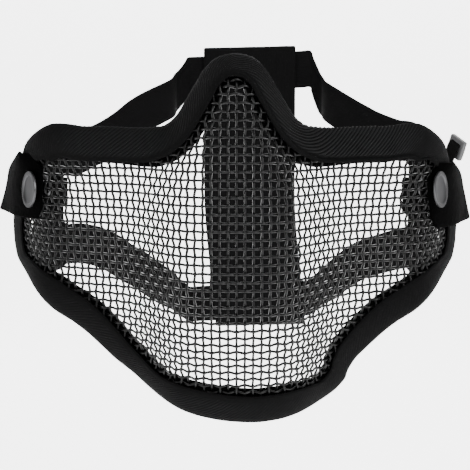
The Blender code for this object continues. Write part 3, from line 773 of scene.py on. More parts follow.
def wire_runs(line, parity, crimp, hem):
    """The stretches of one wire inside the hem, as paths with the cloth's over and under in them."""
    good = ~np.isnan(line[:, 0])
    line = line[good]
    first = int(np.argmax(good))
    if len(line) < 3:
        return []
    fine = catmull_rom(line, WIRE_STEPS)
    turns = first + np.arange(len(fine)) / WIRE_STEPS
    height = crimp * np.cos(pi * turns) * (1 if parity else -1)
    points, normals = face_points(fine[:, 0], fine[:, 1], height)
    inside = points_in_loop(fine, hem)
    runs, start = [], None
    for k, flag in enumerate(np.append(inside, False)):
        if flag and start is None:
            start = k
        if not flag and start is not None:
            if k - start > WIRE_STEPS // 2:
                runs.append((points[start:k], normals[start:k]))
            start = None
    return runs


def make_wire_cloth(material):
    rim, inward = rim_stations()
    hem = inset_track(rim, inward, BINDING_WIDTH - WIRE_TUCK)[:, -1]
    half = wire_net(WIRE_COLUMNS, WIRE_ROWS_UP, WIRE_ROWS_DOWN)
    left = half[::-1].copy()
    left[..., 0] *= -1
    net = np.vstack([left[:-1], half])
    net[..., 0] += WIRE_SHIFT
    pieces = []
    for name, lines, crimp, flip in (
        ("warp_wires", net, WARP_CRIMP, 0),
        ("weft_wires", np.swapaxes(net, 0, 1), WEFT_CRIMP, 1),
    ):
        wires = [
            tube(path, normals, WIRE_RADIUS, WIRE_SIDES)
            for k, line in enumerate(lines)
            for path, normals in wire_runs(line, (k + flip) % 2, crimp, hem)
        ]
        pieces.append(face_outwards(add_mesh(name, *joined(wires), material)))
    return pieces


# Edge binding


def tape_stations():
    """Close stations round the rim, the way inwards at each, and the length round to each."""
    rim, inward = rim_stations()
    dense = closed_curve(np.hstack([rim, inward]), 11)
    rim, inward = dense[:, :2], dense[:, 2:]
    inward /= np.linalg.norm(inward, axis=1, keepdims=True)
    points, _ = face_points(rim[:, 0], rim[:, 1])
    around = lengths_along(np.vstack([points, points[:1]]))
    return rim, inward, around


def tape_ribs(rim):
    """Angle and relief of the ribs at each station, from the tables for above and below."""
    place = rim[:, 0] / MASK_HALF_WIDTH
    above = rim[:, 1] > -TOP_EDGE_END * MASK_HEIGHT
    tables = []
    for rows in (TOP_RIBS, LOW_RIBS[::-1]):
        places, angles, reliefs = np.array(rows, float).T
        tables.append((np.interp(place, places, angles), np.interp(place, places, reliefs)))
    angle = np.where(above, tables[0][0], tables[1][0])
    relief = np.where(above, tables[0][1], tables[1][1])
    return np.radians(angle), relief


def tape_section():
    """The section as insets, heights, lengths round it from the outer edge, and where ribs show."""
    table = np.array(TAPE_SECTION) * (BINDING_WIDTH, TAPE_HEIGHT, 1)
    fine = catmull_rom(table, 12)
    along = lengths_along(fine[:, :2])
    edge = along[np.argmin(fine[:, 0])]
    front = np.linspace(0, edge, 46)
    back = edge + (along[-1] - edge) * np.linspace(0, 1, 15)[1:] ** 1.15
    wanted = np.concatenate([front, back])
    section = at_lengths(fine, wanted, along)
    slot = np.array(TAPE_SLOT) * (BINDING_WIDTH, TAPE_HEIGHT)
    return section, edge - wanted, slot


def tape_relief(rim, around, section, inwards):
    """Ribs passed round the rim and per length inwards, how far they show, and the relief."""
    angle, relief = tape_ribs(rim)
    turn = np.sin(angle) / RIB_PITCH
    passed = np.cumsum(0.5 * (turn + np.roll(turn, -1)) * np.diff(around))
    round_rim = np.concatenate([[0], passed])[:, None]
    per_length = (np.cos(angle) / RIB_PITCH)[:, None]
    shown = section[None, :, 2] * relief[:, None]
    phase = round_rim[:-1] + inwards[None] * per_length
    ridge = RIB_RELIEF * shown * (2 * np.abs(np.sin(pi * phase)) - 1)
    u, v = np.meshgrid(around[:-1], inwards, indexing="ij")
    dents = TAPE_UNEVENNESS * (waves(u, v, 16 * MM, 3) + 0.5 * waves(u, v, 5 * MM, 4))
    out = ridge + dents * np.clip(section[None, :, 2] + 0.4, 0, 1)
    return round_rim, per_length, shown, out


def tape_heights(rim, section):
    """The section's height at each station: padded, pressed down by the tab, lipped at the top right."""
    under_tab = (np.abs(rim[:, 0]) > 0.7 * MASK_HALF_WIDTH) & (rim[:, 1] < -0.2 * MASK_HEIGHT)
    free = 1 - smooth_step(1 - np.abs(rim[:, 1] + TAB_DROP + TAB_HEIGHT / 2) / (0.9 * TAB_HEIGHT))
    puff = 1 + TAPE_PUFF * np.where(under_tab, free - 0.3, 1.0)
    at_top = rim[:, 1] > -TOP_EDGE_END * MASK_HEIGHT
    lip = smooth_step(4 * rim[:, 0] / MASK_HALF_WIDTH + 0.2) * at_top
    insets, heights = np.array(FLAT_LIP).T
    flat_height = np.interp(section[:, 0] / BINDING_WIDTH, insets, heights) * TAPE_HEIGHT
    on_lip = (section[:, 0] > insets[0] * BINDING_WIDTH) & (section[:, 1] > 0.6 * TAPE_HEIGHT)
    flatter = np.where(on_lip, flat_height - section[:, 1], 0.0)
    return (section[None, :, 1] + (1 - lip[:, None]) * flatter) * puff[:, None]


def off_the_rim(rim, inward, inset, height):
    """Points at insets from the rim, measured along the sheet, and at heights over it."""
    reach, steps = 1.2 * BINDING_WIDTH, 34
    track = inset_track(rim, inward, reach, steps)
    place = np.clip(inset, 0, reach) / reach * steps
    low = np.minimum(place.astype(int), steps - 1)
    share = (place - low)[..., None]
    station = np.arange(len(rim))[:, None]
    plan = track[station, low] * (1 - share) + track[station, low + 1] * share
    plan = plan + inward[:, None] * np.minimum(inset, 0)[..., None]
    return face_points(plan[..., 0], plan[..., 1], height)[0]


def make_tape(material):
    """Padded ribbed tape folded over the wire cloth's edge, as one closed body round the rim."""
    rim, inward, around = tape_stations()
    section, inwards, slot = tape_section()
    stations = len(rim)
    round_rim, per_length, shown, out = tape_relief(rim, around, section, inwards)
    slope = np.gradient(section[:, :2], axis=0)
    slope /= np.linalg.norm(slope, axis=1, keepdims=True)
    inset = section[None, :, 0] - slope[None, :, 1] * out
    height = tape_heights(rim, section) - slope[None, :, 0] * out
    inset = np.hstack([inset, np.tile(slot[:, 0], (stations, 1))])
    height = np.hstack([height, np.tile(slot[:, 1], (stations, 1))])
    points = off_the_rim(rim, inward, inset, height)
    columns = points.shape[1]
    row, column = cell_corners(stations, columns, closed_rows=True, closed_columns=True)
    number = np.arange(stations * columns).reshape(stations, columns)
    faces = number[row % stations, column % columns]
    slot_lengths = inwards[-1] - np.linspace(0, 2 * BINDING_WIDTH, len(slot) + 1)
    lengths = np.concatenate([inwards, slot_lengths])
    shown = np.hstack([shown, np.zeros((stations, len(slot) + 1))])
    phase = round_rim + lengths[None] * np.vstack([per_length, per_length[:1]])
    uv_maps = {
        "along": np.stack([around[row], lengths[column]], axis=-1),
        "ribs": np.stack([phase[row, column], shown[row % stations, column]], axis=-1),
    }
    tape = face_outwards(add_mesh("edge_tape", points.reshape(-1, 3), faces, material, uv_maps))
    return tape, around[-1], abs(inwards[0]) + abs(inwards[-1])


def stitch_shape():
    """One stitch lying along X, a low round-ended bead of thread."""
    bpy.ops.mesh.primitive_uv_sphere_add(segments=8, ring_count=6, radius=0.5)
    bead = bpy.context.object
    bead.rotation_euler = (0, pi / 2, 0)
    bpy.ops.object.transform_apply(location=False, rotation=True, scale=False)
    vertices = np.array([v.co[:] for v in bead.data.vertices])
    faces = [list(face.vertices) for face in bead.data.polygons]
    vertices *= (STITCH_LENGTH, STITCH_WIDTH, STITCH_WIDTH)
    bpy.data.objects.remove(bead, do_unlink=True)
    return vertices, faces


def stitches_along(points, normals, shape):
    """Stitches laid along a line of points, each turned to the line and to the surface."""
    vertices, faces = shape
    along = lengths_along(points)
    middles = np.arange(STITCH_PITCH / 2, along[-1], STITCH_PITCH)
    places = at_lengths(points, middles)
    reach = 0.3 * STITCH_PITCH
    ahead = at_lengths(points, middles + reach) - at_lengths(points, middles - reach)
    upward = at_lengths(normals, middles, along)
    parts = []
    for place, run, normal in zip(places, ahead, upward):
        run = run / np.linalg.norm(run)
        side = np.cross(normal, run)
        side /= np.linalg.norm(side)
        turn = np.column_stack([run, side, np.cross(run, side)])
        parts.append((place + vertices @ turn.T, faces))
    return parts


def make_tape_stitches(material, shape):
    """The seam in the groove between the tape's ribs and its rolled lip."""
    rim, inward, _ = tape_stations()
    plan = inset_track(rim, inward, TAPE_SEAM_INSET * BINDING_WIDTH)[:, -1]
    plan = np.vstack([plan, plan[:1]])
    points, normals = face_points(plan[:, 0], plan[:, 1], TAPE_SEAM_HEIGHT * TAPE_HEIGHT)
    stitches = joined(stitches_along(points, normals, shape))
    return face_outwards(add_mesh("tape_stitches", *stitches, material))


# Side tabs


def loop_frame():
    """Where the tab's loop starts in plan: the rim at the tab's middle height."""
    z = -TAB_DROP - TAB_HEIGHT / 2
    x = rim_x(z)
    return x, float(face_y(x, z))


def tab_line(side, share):
    """The middle of the tab's ply at a share of its height, as a smooth line of points."""
    edge_x, edge_y = loop_frame()
    top = -TAB_DROP - side * TAB_TILT
    z = top - TAB_HEIGHT + share * TAB_HEIGHT
    loop = np.array([(edge_x + w * TAB_LOOP_WIDTH, edge_y + a * TAB_LOOP_LENGTH) for a, w in TAB_LOOP])
    stretch = (loop[:, 1] - edge_y) / TAB_LOOP_LENGTH
    after_fold = np.arange(len(loop)) > np.argmax(stretch)
    lean = np.where(after_fold, 0.0, smooth_step(2.9 * stretch) * smooth_step(2.5 - 2.5 * stretch))
    low_top = np.where(after_fold, 1.0, np.minimum(1.0, 2.4 * stretch))
    rounding = TAB_CORNER * (smooth_step(4 * share - 3) + 0.3 * smooth_step(1 - 5 * share))
    foot_step = (TAB_FOOT_STEP + side * TAB_FOOT_UNEVEN) * (1 - share) ** 1.5
    front = edge_x - TAB_REACH + rounding + foot_step
    leave = rim_x(z) - TAB_LEAVE_INSET
    count = len(TAB_BULGE)
    outer, _ = face_points(np.linspace(front, leave, count), np.full(count, z), TAB_BULGE)
    inner_x = np.linspace(front + TAB_INNER_STEP, leave, count)
    inner, _ = face_points(inner_x, np.full(count, z), -TAB_HOVER)
    folded = np.column_stack(
        [
            loop[:, 0] + TAB_SLANT * (0.45 - share) * lean,
            loop[:, 1],
            z - (TAB_TAPER - side * TAB_TILT) * share * low_top,
        ]
    )
    return catmull_rom(np.vstack([outer, folded, inner[::-1]]), TAB_SAMPLES)


def make_tab(name, side, material):
    """A folded cloth tab: over the tape, round the strap, and back inside the mask."""
    heights = rounded_places(TAB_HEIGHT, 0.8 * MM, TAB_THICKNESS / 2)
    lines = [tab_line(side, place / TAB_HEIGHT) for place in heights]
    length = lengths_along(lines[len(lines) // 2])[-1]
    places = rounded_places(length, 0.8 * MM, TAB_THICKNESS / 2)
    rows = [at_lengths(line, places / length * lengths_along(line)[-1]) for line in lines]
    grid = np.stack(rows, axis=1)
    grid[..., 0] *= side
    u, v = np.meshgrid(places, heights, indexing="ij")
    nap = 0.09 * waves(u, v, 2.6 * MM, 11 + side) + 0.07 * waves(u, v, 7 * MM, 15 + side)
    tab = cloth_body(name, grid, TAB_THICKNESS, material, places, heights, relief=(nap, nap))
    return tab, length


# Snaps


def snap_seats(node):
    """Where a snap's cap lies on the tab and its back sits inside, as matrices with Z outwards.

    The cap touches the tab's bulge at its highest place, a little further in than the part's and
    turned outwards and up, as in the photograph. The back stays on the part's axis.
    """
    middle = np.mean([v.co[:] for v in node.data.vertices], axis=0)
    side = 1 if middle[0] > 0 else -1
    mirror = np.array([side, 1, 1])
    x, z = abs(middle[0]), middle[2]
    for _ in range(12):
        point, normal = (values[0] * mirror for values in face_points([x], [z]))
        on_axis = middle - normal * np.dot(middle - point, normal)
        x, z = abs(on_axis[0]), on_axis[2]
    back_seat = seat_matrix(on_axis, normal)
    outer_end = (len(TAB_BULGE) - 1) * TAB_SAMPLES + 1
    lines = [tab_line(side, share)[:outer_end] for share in np.linspace(0.04, 0.96, 24)]
    ply = np.vstack(lines) * mirror
    further_in = face_points([x - SNAP_SHIFT], [z], TAB_HOVER)
    centre, forward = (values[0] * mirror for values in further_in)
    lean = Matrix.Rotation(-side * SNAP_LIFT, 3, "Y") @ Matrix.Rotation(side * SNAP_TURN, 3, "Z")
    upright = np.array(lean @ Vector(forward))
    away = ply - centre
    heights = away @ upright
    under = np.linalg.norm(away - heights[:, None] * upright, axis=1) < SNAP_DIAMETER / 2
    rise = heights[under].max() + TAB_THICKNESS / 4
    return seat_matrix(centre + upright * rise, upright), back_seat


def seat_matrix(place, normal):
    turn = Vector(normal).to_track_quat("Z", "Y").to_matrix().to_4x4()
    return Matrix.Translation(Vector(place)) @ turn


def edit_faces(piece, test):
    """Selects the faces that pass a test and stays in edit mode."""
    bpy.ops.object.mode_set(mode="EDIT")
    bpy.ops.mesh.select_mode(type="FACE")
    bpy.ops.mesh.select_all(action="DESELECT")
    bm = bmesh.from_edit_mesh(piece.data)
    for face in bm.faces:
        if test(face.calc_center_median(), face.normal):
            face.select_set(True)
    bm.select_flush_mode()
    bmesh.update_edit_mesh(piece.data)


def finish_hard(piece, name, material, matrix, bevel):
    """Ends edit mode, rounds the edges, and puts the piece in place with its place in its mesh."""
    bpy.ops.object.mode_set(mode="OBJECT")
    piece.name = name
    rounding = piece.modifiers.new("rounding", "BEVEL")
    rounding.width = bevel
    rounding.segments = 3
    rounding.limit_method = "ANGLE"
    rounding.angle_limit = radians(30)
    bpy.ops.object.modifier_apply(modifier="rounding")
    bpy.ops.object.shade_smooth_by_angle(angle=radians(35))
    piece.data.transform(matrix)
    piece.data.materials.clear()
    piece.data.materials.append(material)
    piece.data.name = name
    piece.select_set(False)
    return piece


def make_snap_cap(name, matrix, material):
    """A dished cap with a rolled rim, and the start of its post, which stops short of the cloth."""
    radius = SNAP_DIAMETER / 2
    bpy.ops.mesh.primitive_cylinder_add(
        vertices=72, radius=radius, depth=SNAP_THICKNESS, location=(0, 0, SNAP_THICKNESS / 2)
    )
    cap = bpy.context.object
    bpy.ops.object.transform_apply(location=True, rotation=False, scale=False)
    edit_faces(cap, lambda middle, normal: normal.z > 0.9)
    for width, rise in CAP_FACE:
        bpy.ops.mesh.inset(thickness=width * SNAP_RIM, depth=rise * SNAP_THICKNESS)
    bpy.ops.object.mode_set(mode="OBJECT")
    edit_faces(cap, lambda middle, normal: normal.z < -0.9)
    rim = 1.5 * SNAP_RIM
    bpy.ops.mesh.inset(thickness=rim, depth=0.0)
    bpy.ops.mesh.inset(thickness=radius - SNAP_POST / 2 - rim, depth=0.6 * SNAP_THICKNESS)
    bpy.ops.mesh.extrude_region_move(TRANSFORM_OT_translate={"value": (0, 0, -SNAP_STUB)})
    return finish_hard(cap, name, material, matrix, SNAP_ROUNDING)


def make_snap_back(name, matrix, material):
    """The ring behind the tab, dished round the end of the post."""
    floor = TAB_HOVER + TAB_THICKNESS / 2 + GAP
    bpy.ops.mesh.primitive_cylinder_add(
        vertices=48,
        radius=SNAP_BACK_DIAMETER / 2,
        depth=SNAP_BACK_THICKNESS,
        location=(0, 0, -floor - SNAP_BACK_THICKNESS / 2),
    )
    ring = bpy.context.object
    bpy.ops.object.transform_apply(location=True, rotation=False, scale=False)
    to_post = SNAP_BACK_DIAMETER / 2 - SNAP_POST / 2
    edit_faces(ring, lambda middle, normal: normal.z < -0.9)
    for width, rise in BACK_FACE:
        bpy.ops.mesh.inset(thickness=width * to_post, depth=rise * SNAP_BACK_THICKNESS)
    return finish_hard(ring, name, material, matrix, SNAP_BACK_ROUNDING)


# Harness


def harness_start():
    edge_x, edge_y = loop_frame()
    return edge_x + 0.127 * TAB_LOOP_WIDTH, edge_y + 0.154 * TAB_LOOP_LENGTH


def harness_plan(side):
    """One side of the harness from above, from the loop to the middle of the back."""
    start_x, start_y = harness_start()
    corner_x = side * BACK_SHIFT + BACK_HALF_WIDTH
    way_in, way_back = start_x - corner_x, HARNESS_DEPTH - start_y
    points = [
        (start_x - (right if side > 0 else left) * way_in, start_y + along * way_back)
        for along, right, left in HARNESS_PLAN
    ]
    points.append((corner_x - 0.10 * BACK_HALF_WIDTH, HARNESS_DEPTH))
    points.append((corner_x - 0.22 * BACK_HALF_WIDTH, HARNESS_DEPTH))
    points.append((side * BACK_SHIFT, HARNESS_DEPTH))
    return catmull_rom(points, PLAN_SAMPLES)


def upright_length():
    return 0.61 * TAB_LOOP_LENGTH


def branch_line(branch, side, leave, corner, start_z, end_z):
    """A branch's middle from the loop to the corner, as lengths in plan and heights."""
    points = []
    for back, right, left in branch:
        share = right if side > 0 else left
        points.append((leave + back * (corner - leave), start_z + share * (end_z - start_z)))
    return catmull_rom(points, 3)


def strap_half(side):
    """Centre line, width direction and extra width outwards of one side, from high to low at the back.

    The branches keep their width nearly upright where they drop at the corner at the back.
    """
    plan = harness_plan(side)
    lengths = lengths_along(plan)
    corner, middle = float(lengths[len(HARNESS_PLAN) * PLAN_SAMPLES]), float(lengths[-1])
    turn = TURN_RADIUS
    leave = upright_length() + turn
    upper_z = -TAB_DROP - TAB_TAPER + STRAP_STRAIGHT + turn
    lower_z = -TAB_DROP - TAB_HEIGHT - STRAP_STRAIGHT - turn
    tilt = side * BACK_TILT * BACK_HALF_WIDTH
    upper = branch_line(UPPER_BRANCH, side, leave, corner, upper_z, upper_z + UPPER_RISE + tilt)
    lower = branch_line(LOWER_BRANCH, side, leave, corner, lower_z, lower_z - LOWER_FALL + tilt)
    angles = np.linspace(0.5 * pi, pi, 8)[1:]
    upper_turn = [(leave + turn * cos(a), upper[0, 1] - turn + turn * sin(a)) for a in angles]
    lower_turn = [(leave + turn * cos(a), lower[0, 1] + turn - turn * sin(a)) for a in angles[::-1]]
    flat = [(middle + (corner - middle) * share, share * tilt - tilt) for share in (0, 0.35, 0.65, 0.85)]
    flat_upper = [(along, upper[-1, 1] + rise) for along, rise in flat]
    flat_lower = [(along, lower[-1, 1] + rise) for along, rise in flat[::-1]]
    high, low = upper[::-1].tolist(), lower.tolist()
    line = np.array(flat_upper + high + upper_turn + lower_turn + low + flat_lower)
    tangent = np.gradient(line, lengths_along(line), axis=0)
    back = (line[:, 0] - leave) / (corner - leave)
    limit = FOLD_SLOPE * (1 - 0.9 * smooth_step(8 * back - 6.4)) * np.abs(tangent[:, 0])
    limit = np.where(back > 0, limit, 1.0)
    tangent[:, 1] = np.clip(tangent[:, 1], -limit, limit)
    ends = tangent[:1], tangent[-1:]
    for _ in range(5):
        padded = np.vstack([ends[0], tangent, ends[1]])
        tangent = 0.5 * tangent + 0.25 * (padded[:-2] + padded[2:])
    tangent[[0, -1], 1] = 0.0
    tangent /= np.linalg.norm(tangent, axis=1, keepdims=True)
    in_turn = (line[:, 0] < leave) & (line[:, 1] < -TAB_DROP - TAB_HEIGHT)
    fuller = np.where(in_turn, LOWER_CORNER * 2 * np.abs(tangent[:, 0] * tangent[:, 1]), 0.0)
    return line, np.column_stack([-tangent[:, 1], tangent[:, 0]]), fuller


def on_harness(side, along, z):
    """Points on the harness surface from plan length and height."""
    place = at_lengths(harness_plan(side), along)
    return np.column_stack([side * place[:, 0], place[:, 1], z])


def make_strap(material):
    """One elastic ribbon: round the back high, down through one tab, round low, and up the other."""
    cuts = np.linspace(-0.5, 0.5, 5)
    rows = []
    for side in (1, -1):
        line, across, fuller = strap_half(side)
        half_rows = []
        for point, direction, extra in zip(line, across, fuller):
            places = point + np.outer((cuts + np.minimum(cuts, 0) * extra) * STRAP_WIDTH, direction)
            half_rows.append(on_harness(side, places[:, 0], places[:, 1]))
        if side == -1:
            half_rows = half_rows[::-1]
        rows.extend(half_rows[:-1])
    shares = np.linspace(0, 1, 601)[:-1]
    long_rows, length = smooth_rows(np.stack(rows), shares, closed=True)
    widths = rounded_places(STRAP_WIDTH, 0.9 * MM, STRAP_THICKNESS / 2)
    grid, _ = smooth_rows(np.swapaxes(long_rows, 0, 1), widths / STRAP_WIDTH)
    grid = np.swapaxes(grid, 0, 1)
    u, v = np.meshgrid(shares * length, widths, indexing="ij")
    uneven = 0.12 * waves(u, v, 11 * MM, 21)
    strap = cloth_body(
        "harness_elastic",
        grid,
        STRAP_THICKNESS,
        material,
        shares * length,
        widths,
        closed=True,
        relief=(uneven, uneven),
    )
    return strap, length


def strap_heights():
    line, _, _ = strap_half(1)
    return float(line[0, 1]), float(line[-1, 1])


def band_point(across, depth, z, ends):
    """A point of the back band from its place across, its depth behind the strap and its height."""
    top, bottom = ends
    sway = BAND_SWAY * smooth_step(((top - z) / (top - bottom) - 0.5) / 0.6)
    x = BAND_SHIFT + sway + across * BAND_WIDTH
    return x, HARNESS_DEPTH + depth, z + BAND_TILT * across * BAND_WIDTH


def band_ends():
    upper, lower = strap_heights()
    return upper + STRAP_WIDTH / 2 + SLEEVE_ROOM, lower - STRAP_WIDTH / 2 - SLEEVE_ROOM


def make_band(material):
    """The upright band at the back, its ends folded over the two branches as sleeves."""
    top, bottom = band_ends()
    away = STRAP_THICKNESS / 2 + GAP + BAND_THICKNESS / 2
    section = [(away, top - SLEEVE_LENGTH * share) for share in (1.0, 0.75, 0.5, 0.25)]
    section += [(away * cos(a), top - away + away * sin(a)) for a in np.linspace(0, pi, 7)]
    section += [(-away, top + (bottom - top) * share) for share in np.linspace(0.08, 0.92, 13)]
    section += [(away * cos(a), bottom + away + away * sin(a)) for a in np.linspace(pi, 2 * pi, 7)]
    section += [(away, bottom + SLEEVE_LENGTH * share) for share in (0.25, 0.5, 0.75, 1.0)]
    line = catmull_rom(section, 6)
    length = lengths_along(line)[-1]
    places = rounded_places(length, 1.2 * MM, BAND_THICKNESS / 2)
    line = at_lengths(line, places)
    widths = rounded_places(BAND_WIDTH, 1.3 * MM, BAND_THICKNESS / 2)
    across = widths / BAND_WIDTH - 0.5
    grid = np.array([[band_point(share, *place, (top, bottom)) for share in across] for place in line])
    u, v = np.meshgrid(places, widths, indexing="ij")
    uneven = 0.12 * waves(u, v, 14 * MM, 31)
    band = cloth_body(
        "harness_band", grid, BAND_THICKNESS, material, places, widths, relief=(uneven, uneven)
    )
    return band, length


def make_band_stitches(material, shape):
    """Two rows of stitching across each sleeve, on its outer side."""
    top, bottom = band_ends()
    depth = STRAP_THICKNESS / 2 + GAP + BAND_THICKNESS + 0.2 * STITCH_WIDTH
    parts = []
    for end, way in ((top, -1), (bottom, 1)):
        for inset in SLEEVE_SEAMS:
            z = end + way * (SLEEVE_LENGTH - inset)
            across = np.linspace(-0.46, 0.46, 24)
            line = np.array([band_point(share, depth, z, (top, bottom)) for share in across])
            normals = np.tile([0.0, 1.0, 0.0], (len(line), 1))
            parts += stitches_along(line, normals, shape)
    return face_outwards(add_mesh("band_stitches", *joined(parts), material))


# Slider and strap end


def ribbon_reach():
    return SLIDER_THICKNESS / 2 + 2 * GAP + END_LOOP_THICKNESS / 2


def slider_matrix():
    """The slider's own frame, tilted in the flat plane that touches the strap's front edge."""
    along, height = 0.2 * TAB_LOOP_LENGTH, -TAB_DROP + 0.25 * SLIDER_HEIGHT
    away = STRAP_THICKNESS / 2 + GAP + END_LOOP_THICKNESS / 2 + ribbon_reach()
    touch = upright_length() - 0.4 * STRAP_WIDTH
    ends = on_harness(1, np.array([touch - MM, touch + MM]), np.zeros(2))
    run = (ends[1] - ends[0]) / np.linalg.norm(ends[1] - ends[0])
    outwards = np.array([run[1], -run[0], 0.0])
    upwards = np.array([0.0, 0.0, 1.0])
    origin = (ends[0] + ends[1]) / 2 + run * (along - touch) + outwards * away + upwards * height
    across = run * cos(SLIDER_TILT) + upwards * sin(SLIDER_TILT)
    up = upwards * cos(SLIDER_TILT) - run * sin(SLIDER_TILT)
    matrix = Matrix.Identity(4)
    for row in range(3):
        matrix[row][0], matrix[row][1] = across[row], up[row]
        matrix[row][2], matrix[row][3] = outwards[row], origin[row]
    return matrix


def make_slider(material):
    """A moulded plate with two slots and a bar between them."""
    bar = SLIDER_BAR
    lengths = [-SLIDER_LENGTH / 2, -SLIDER_LENGTH / 2 + bar, SLIDER_LENGTH / 2 - bar, SLIDER_LENGTH / 2]
    heights = [-SLIDER_HEIGHT / 2, -SLIDER_HEIGHT / 2 + bar, -bar / 2, bar / 2]
    heights += [SLIDER_HEIGHT / 2 - bar, SLIDER_HEIGHT / 2]
    bpy.ops.mesh.primitive_grid_add(x_subdivisions=3, y_subdivisions=5, size=2)
    plate = bpy.context.object
    for vertex in plate.data.vertices:
        vertex.co.x = lengths[round((vertex.co.x + 1) / 2 * 3)]
        vertex.co.y = heights[round((vertex.co.y + 1) / 2 * 5)]
    slot_middle = (heights[2] + heights[1]) / 2

    def in_slot(middle, normal):
        return abs(middle.x) < 0.1 * SLIDER_LENGTH and abs(abs(middle.y) - abs(slot_middle)) < 0.1 * bar

    edit_faces(plate, in_slot)
    bpy.ops.mesh.delete(type="FACE")
    bpy.ops.object.mode_set(mode="OBJECT")
    wall = plate.modifiers.new("wall", "SOLIDIFY")
    wall.thickness = SLIDER_THICKNESS
    wall.offset = 0.0
    bpy.ops.object.modifier_apply(modifier="wall")
    return finish_hard(plate, "moulded_slider", material, slider_matrix(), SLIDER_ROUNDING)


def make_strap_end(material):
    """The strap's end, doubled round the slider's middle bar and down into the tab."""
    reach = ribbon_reach()
    rise = SLIDER_BAR / 2 + 2 * GAP + END_LOOP_THICKNESS / 2
    section = [(-reach, -END_LOOP_LENGTH * share) for share in (1.0, 0.75, 0.5, 0.25, 0.0)]
    section += [(-reach * cos(a), rise * sin(a)) for a in np.linspace(0, pi, 9)[1:-1]]
    section += [(reach, 0.0), (reach, -0.5 * SLIDER_HEIGHT)]
    line = catmull_rom(section, 5)
    length = lengths_along(line)[-1]
    places = rounded_places(length, 0.6 * MM, END_LOOP_THICKNESS / 2)
    line = at_lengths(line, places)
    widths = rounded_places(END_LOOP_WIDTH, 0.7 * MM, END_LOOP_THICKNESS / 2)
    matrix = slider_matrix()
    grid = np.array(
        [[tuple(matrix @ Vector((w - END_LOOP_WIDTH / 2, up, out))) for w in widths] for out, up in line]
    )
    return cloth_body("strap_end", grid, END_LOOP_THICKNESS, material, places, widths), length


# Materials


class Value:
    """A socket in a material, joined by Python's operators with Math nodes."""

    def __init__(self, finish, socket):
        self.finish = finish
        self.socket = socket

    def joined(self, operation, *others, reflected=False):
        inputs = [self, *others]
        if reflected:
            inputs = inputs[::-1]
        return self.finish.node("ShaderNodeMath", {"operation": operation}, dict(enumerate(inputs)))

    def __add__(self, other):
        return self.joined("ADD", other)

    __radd__ = __add__

    def __sub__(self, other):
        return self.joined("SUBTRACT", other)

    def __rsub__(self, other):
        return self.joined("SUBTRACT", other, reflected=True)

    def __mul__(self, other):
        return self.joined("MULTIPLY", other)

    __rmul__ = __mul__

    def absolute(self):
        return self.joined("ABSOLUTE")

    def sine(self):
        return self.joined("SINE")


class Finish:
    """A material whose shader takes plain numbers, and values that its nodes give."""

    def __init__(self, name, colour, roughness, metallic=0.0, **sockets):
        self.material = bpy.data.materials.new(name)
        self.material.use_nodes = True
        self.tree = self.material.node_tree
        self.shader = self.tree.nodes["Principled BSDF"]
        self.shader.inputs["Base Color"].default_value = (*colour, 1)
        self.shader.inputs["Roughness"].default_value = roughness
        self.shader.inputs["Metallic"].default_value = metallic
        for socket, value in sockets.items():
            self.shader.inputs[socket.replace("_", " ")].default_value = value

    def node(self, kind, settings=None, inputs=None, output=0):
        """A node of a kind, its settings made first, then its inputs set or linked."""
        node = self.tree.nodes.new(kind)
        for name, value in (settings or {}).items():
            setattr(node, name, value)
        for name, value in (inputs or {}).items():
            if isinstance(value, Value):
                self.tree.links.new(value.socket, node.inputs[name])
            else:
                node.inputs[name].default_value = value
        return Value(self, node.outputs[output])

    def feed(self, socket, value):
        self.tree.links.new(value.socket, self.shader.inputs[socket])

    def place(self):
        return self.node("ShaderNodeTexCoord", output=3)

    def noise(self, vector, scale, detail=3.0):
        return self.node("ShaderNodeTexNoise", None, {"Vector": vector, "Scale": scale, "Detail": detail})

    def uv(self, name):
        """The two numbers of a UV map."""
        vector = self.node("ShaderNodeUVMap", {"uv_map": name})
        return tuple(
            self.node("ShaderNodeSeparateXYZ", None, {"Vector": vector}, output) for output in (0, 1)
        )

    def shade(self, share, dark, light):
        """Feeds the base colour a mix from dark to light."""
        mix = self.tree.nodes.new("ShaderNodeMix")
        mix.data_type = "RGBA"
        mix.inputs["A"].default_value = (*dark, 1)
        mix.inputs["B"].default_value = (*light, 1)
        self.tree.links.new(share.socket, mix.inputs["Factor"])
        self.feed("Base Color", Value(self, mix.outputs["Result"]))

    def bump(self, height, distance, strength=1.0):
        inputs = {"Height": height, "Distance": distance, "Strength": strength}
        self.feed("Normal", self.node("ShaderNodeBump", None, inputs))


def grey(level, tint=1.03):
    return (level, level, level * tint)


def coated_wire():
    """Black enamel on steel wire, slightly uneven."""
    finish = Finish("black_wire", grey(0.0010), 0.26, Specular_IOR_Level=0.15)
    noise = finish.noise(finish.place(), 900.0)
    finish.feed("Roughness", 0.2 + noise * 0.2)
    finish.bump(noise, 0.03 * MM, 0.5)
    return finish.material


def ribbed_tape():
    """Bias tape: ribs from the map of ribs, and a fine twill over them."""
    finish = Finish("black_tape", grey(0.001), 0.85, Specular_IOR_Level=0.04)
    phase, relief = finish.uv("ribs")
    along, across = finish.uv("along")
    rib = (phase * pi).sine().absolute()
    thread = 2 * pi / (0.55 * MM)
    twill = ((along + across) * thread).sine() * ((along - across) * thread).sine()
    fibres = finish.noise(finish.place(), 1600.0, 4.0)
    depth = rib * relief * (0.60 * MM) + twill * (0.02 * MM) + fibres * (0.03 * MM)
    finish.bump(depth, 1.0)
    # Base colour: lighter on the rib ridges and darker in the grooves between them, a painted highlight
    # on the ridges and painted shade in the grooves; the fibre noise adds a random tone of the cloth's
    # own.
    finish.shade(rib * relief + fibres * 0.5, grey(0.0001), grey(0.0050))
    finish.feed("Roughness", 0.92 - rib * relief * 0.22)
    return finish.material


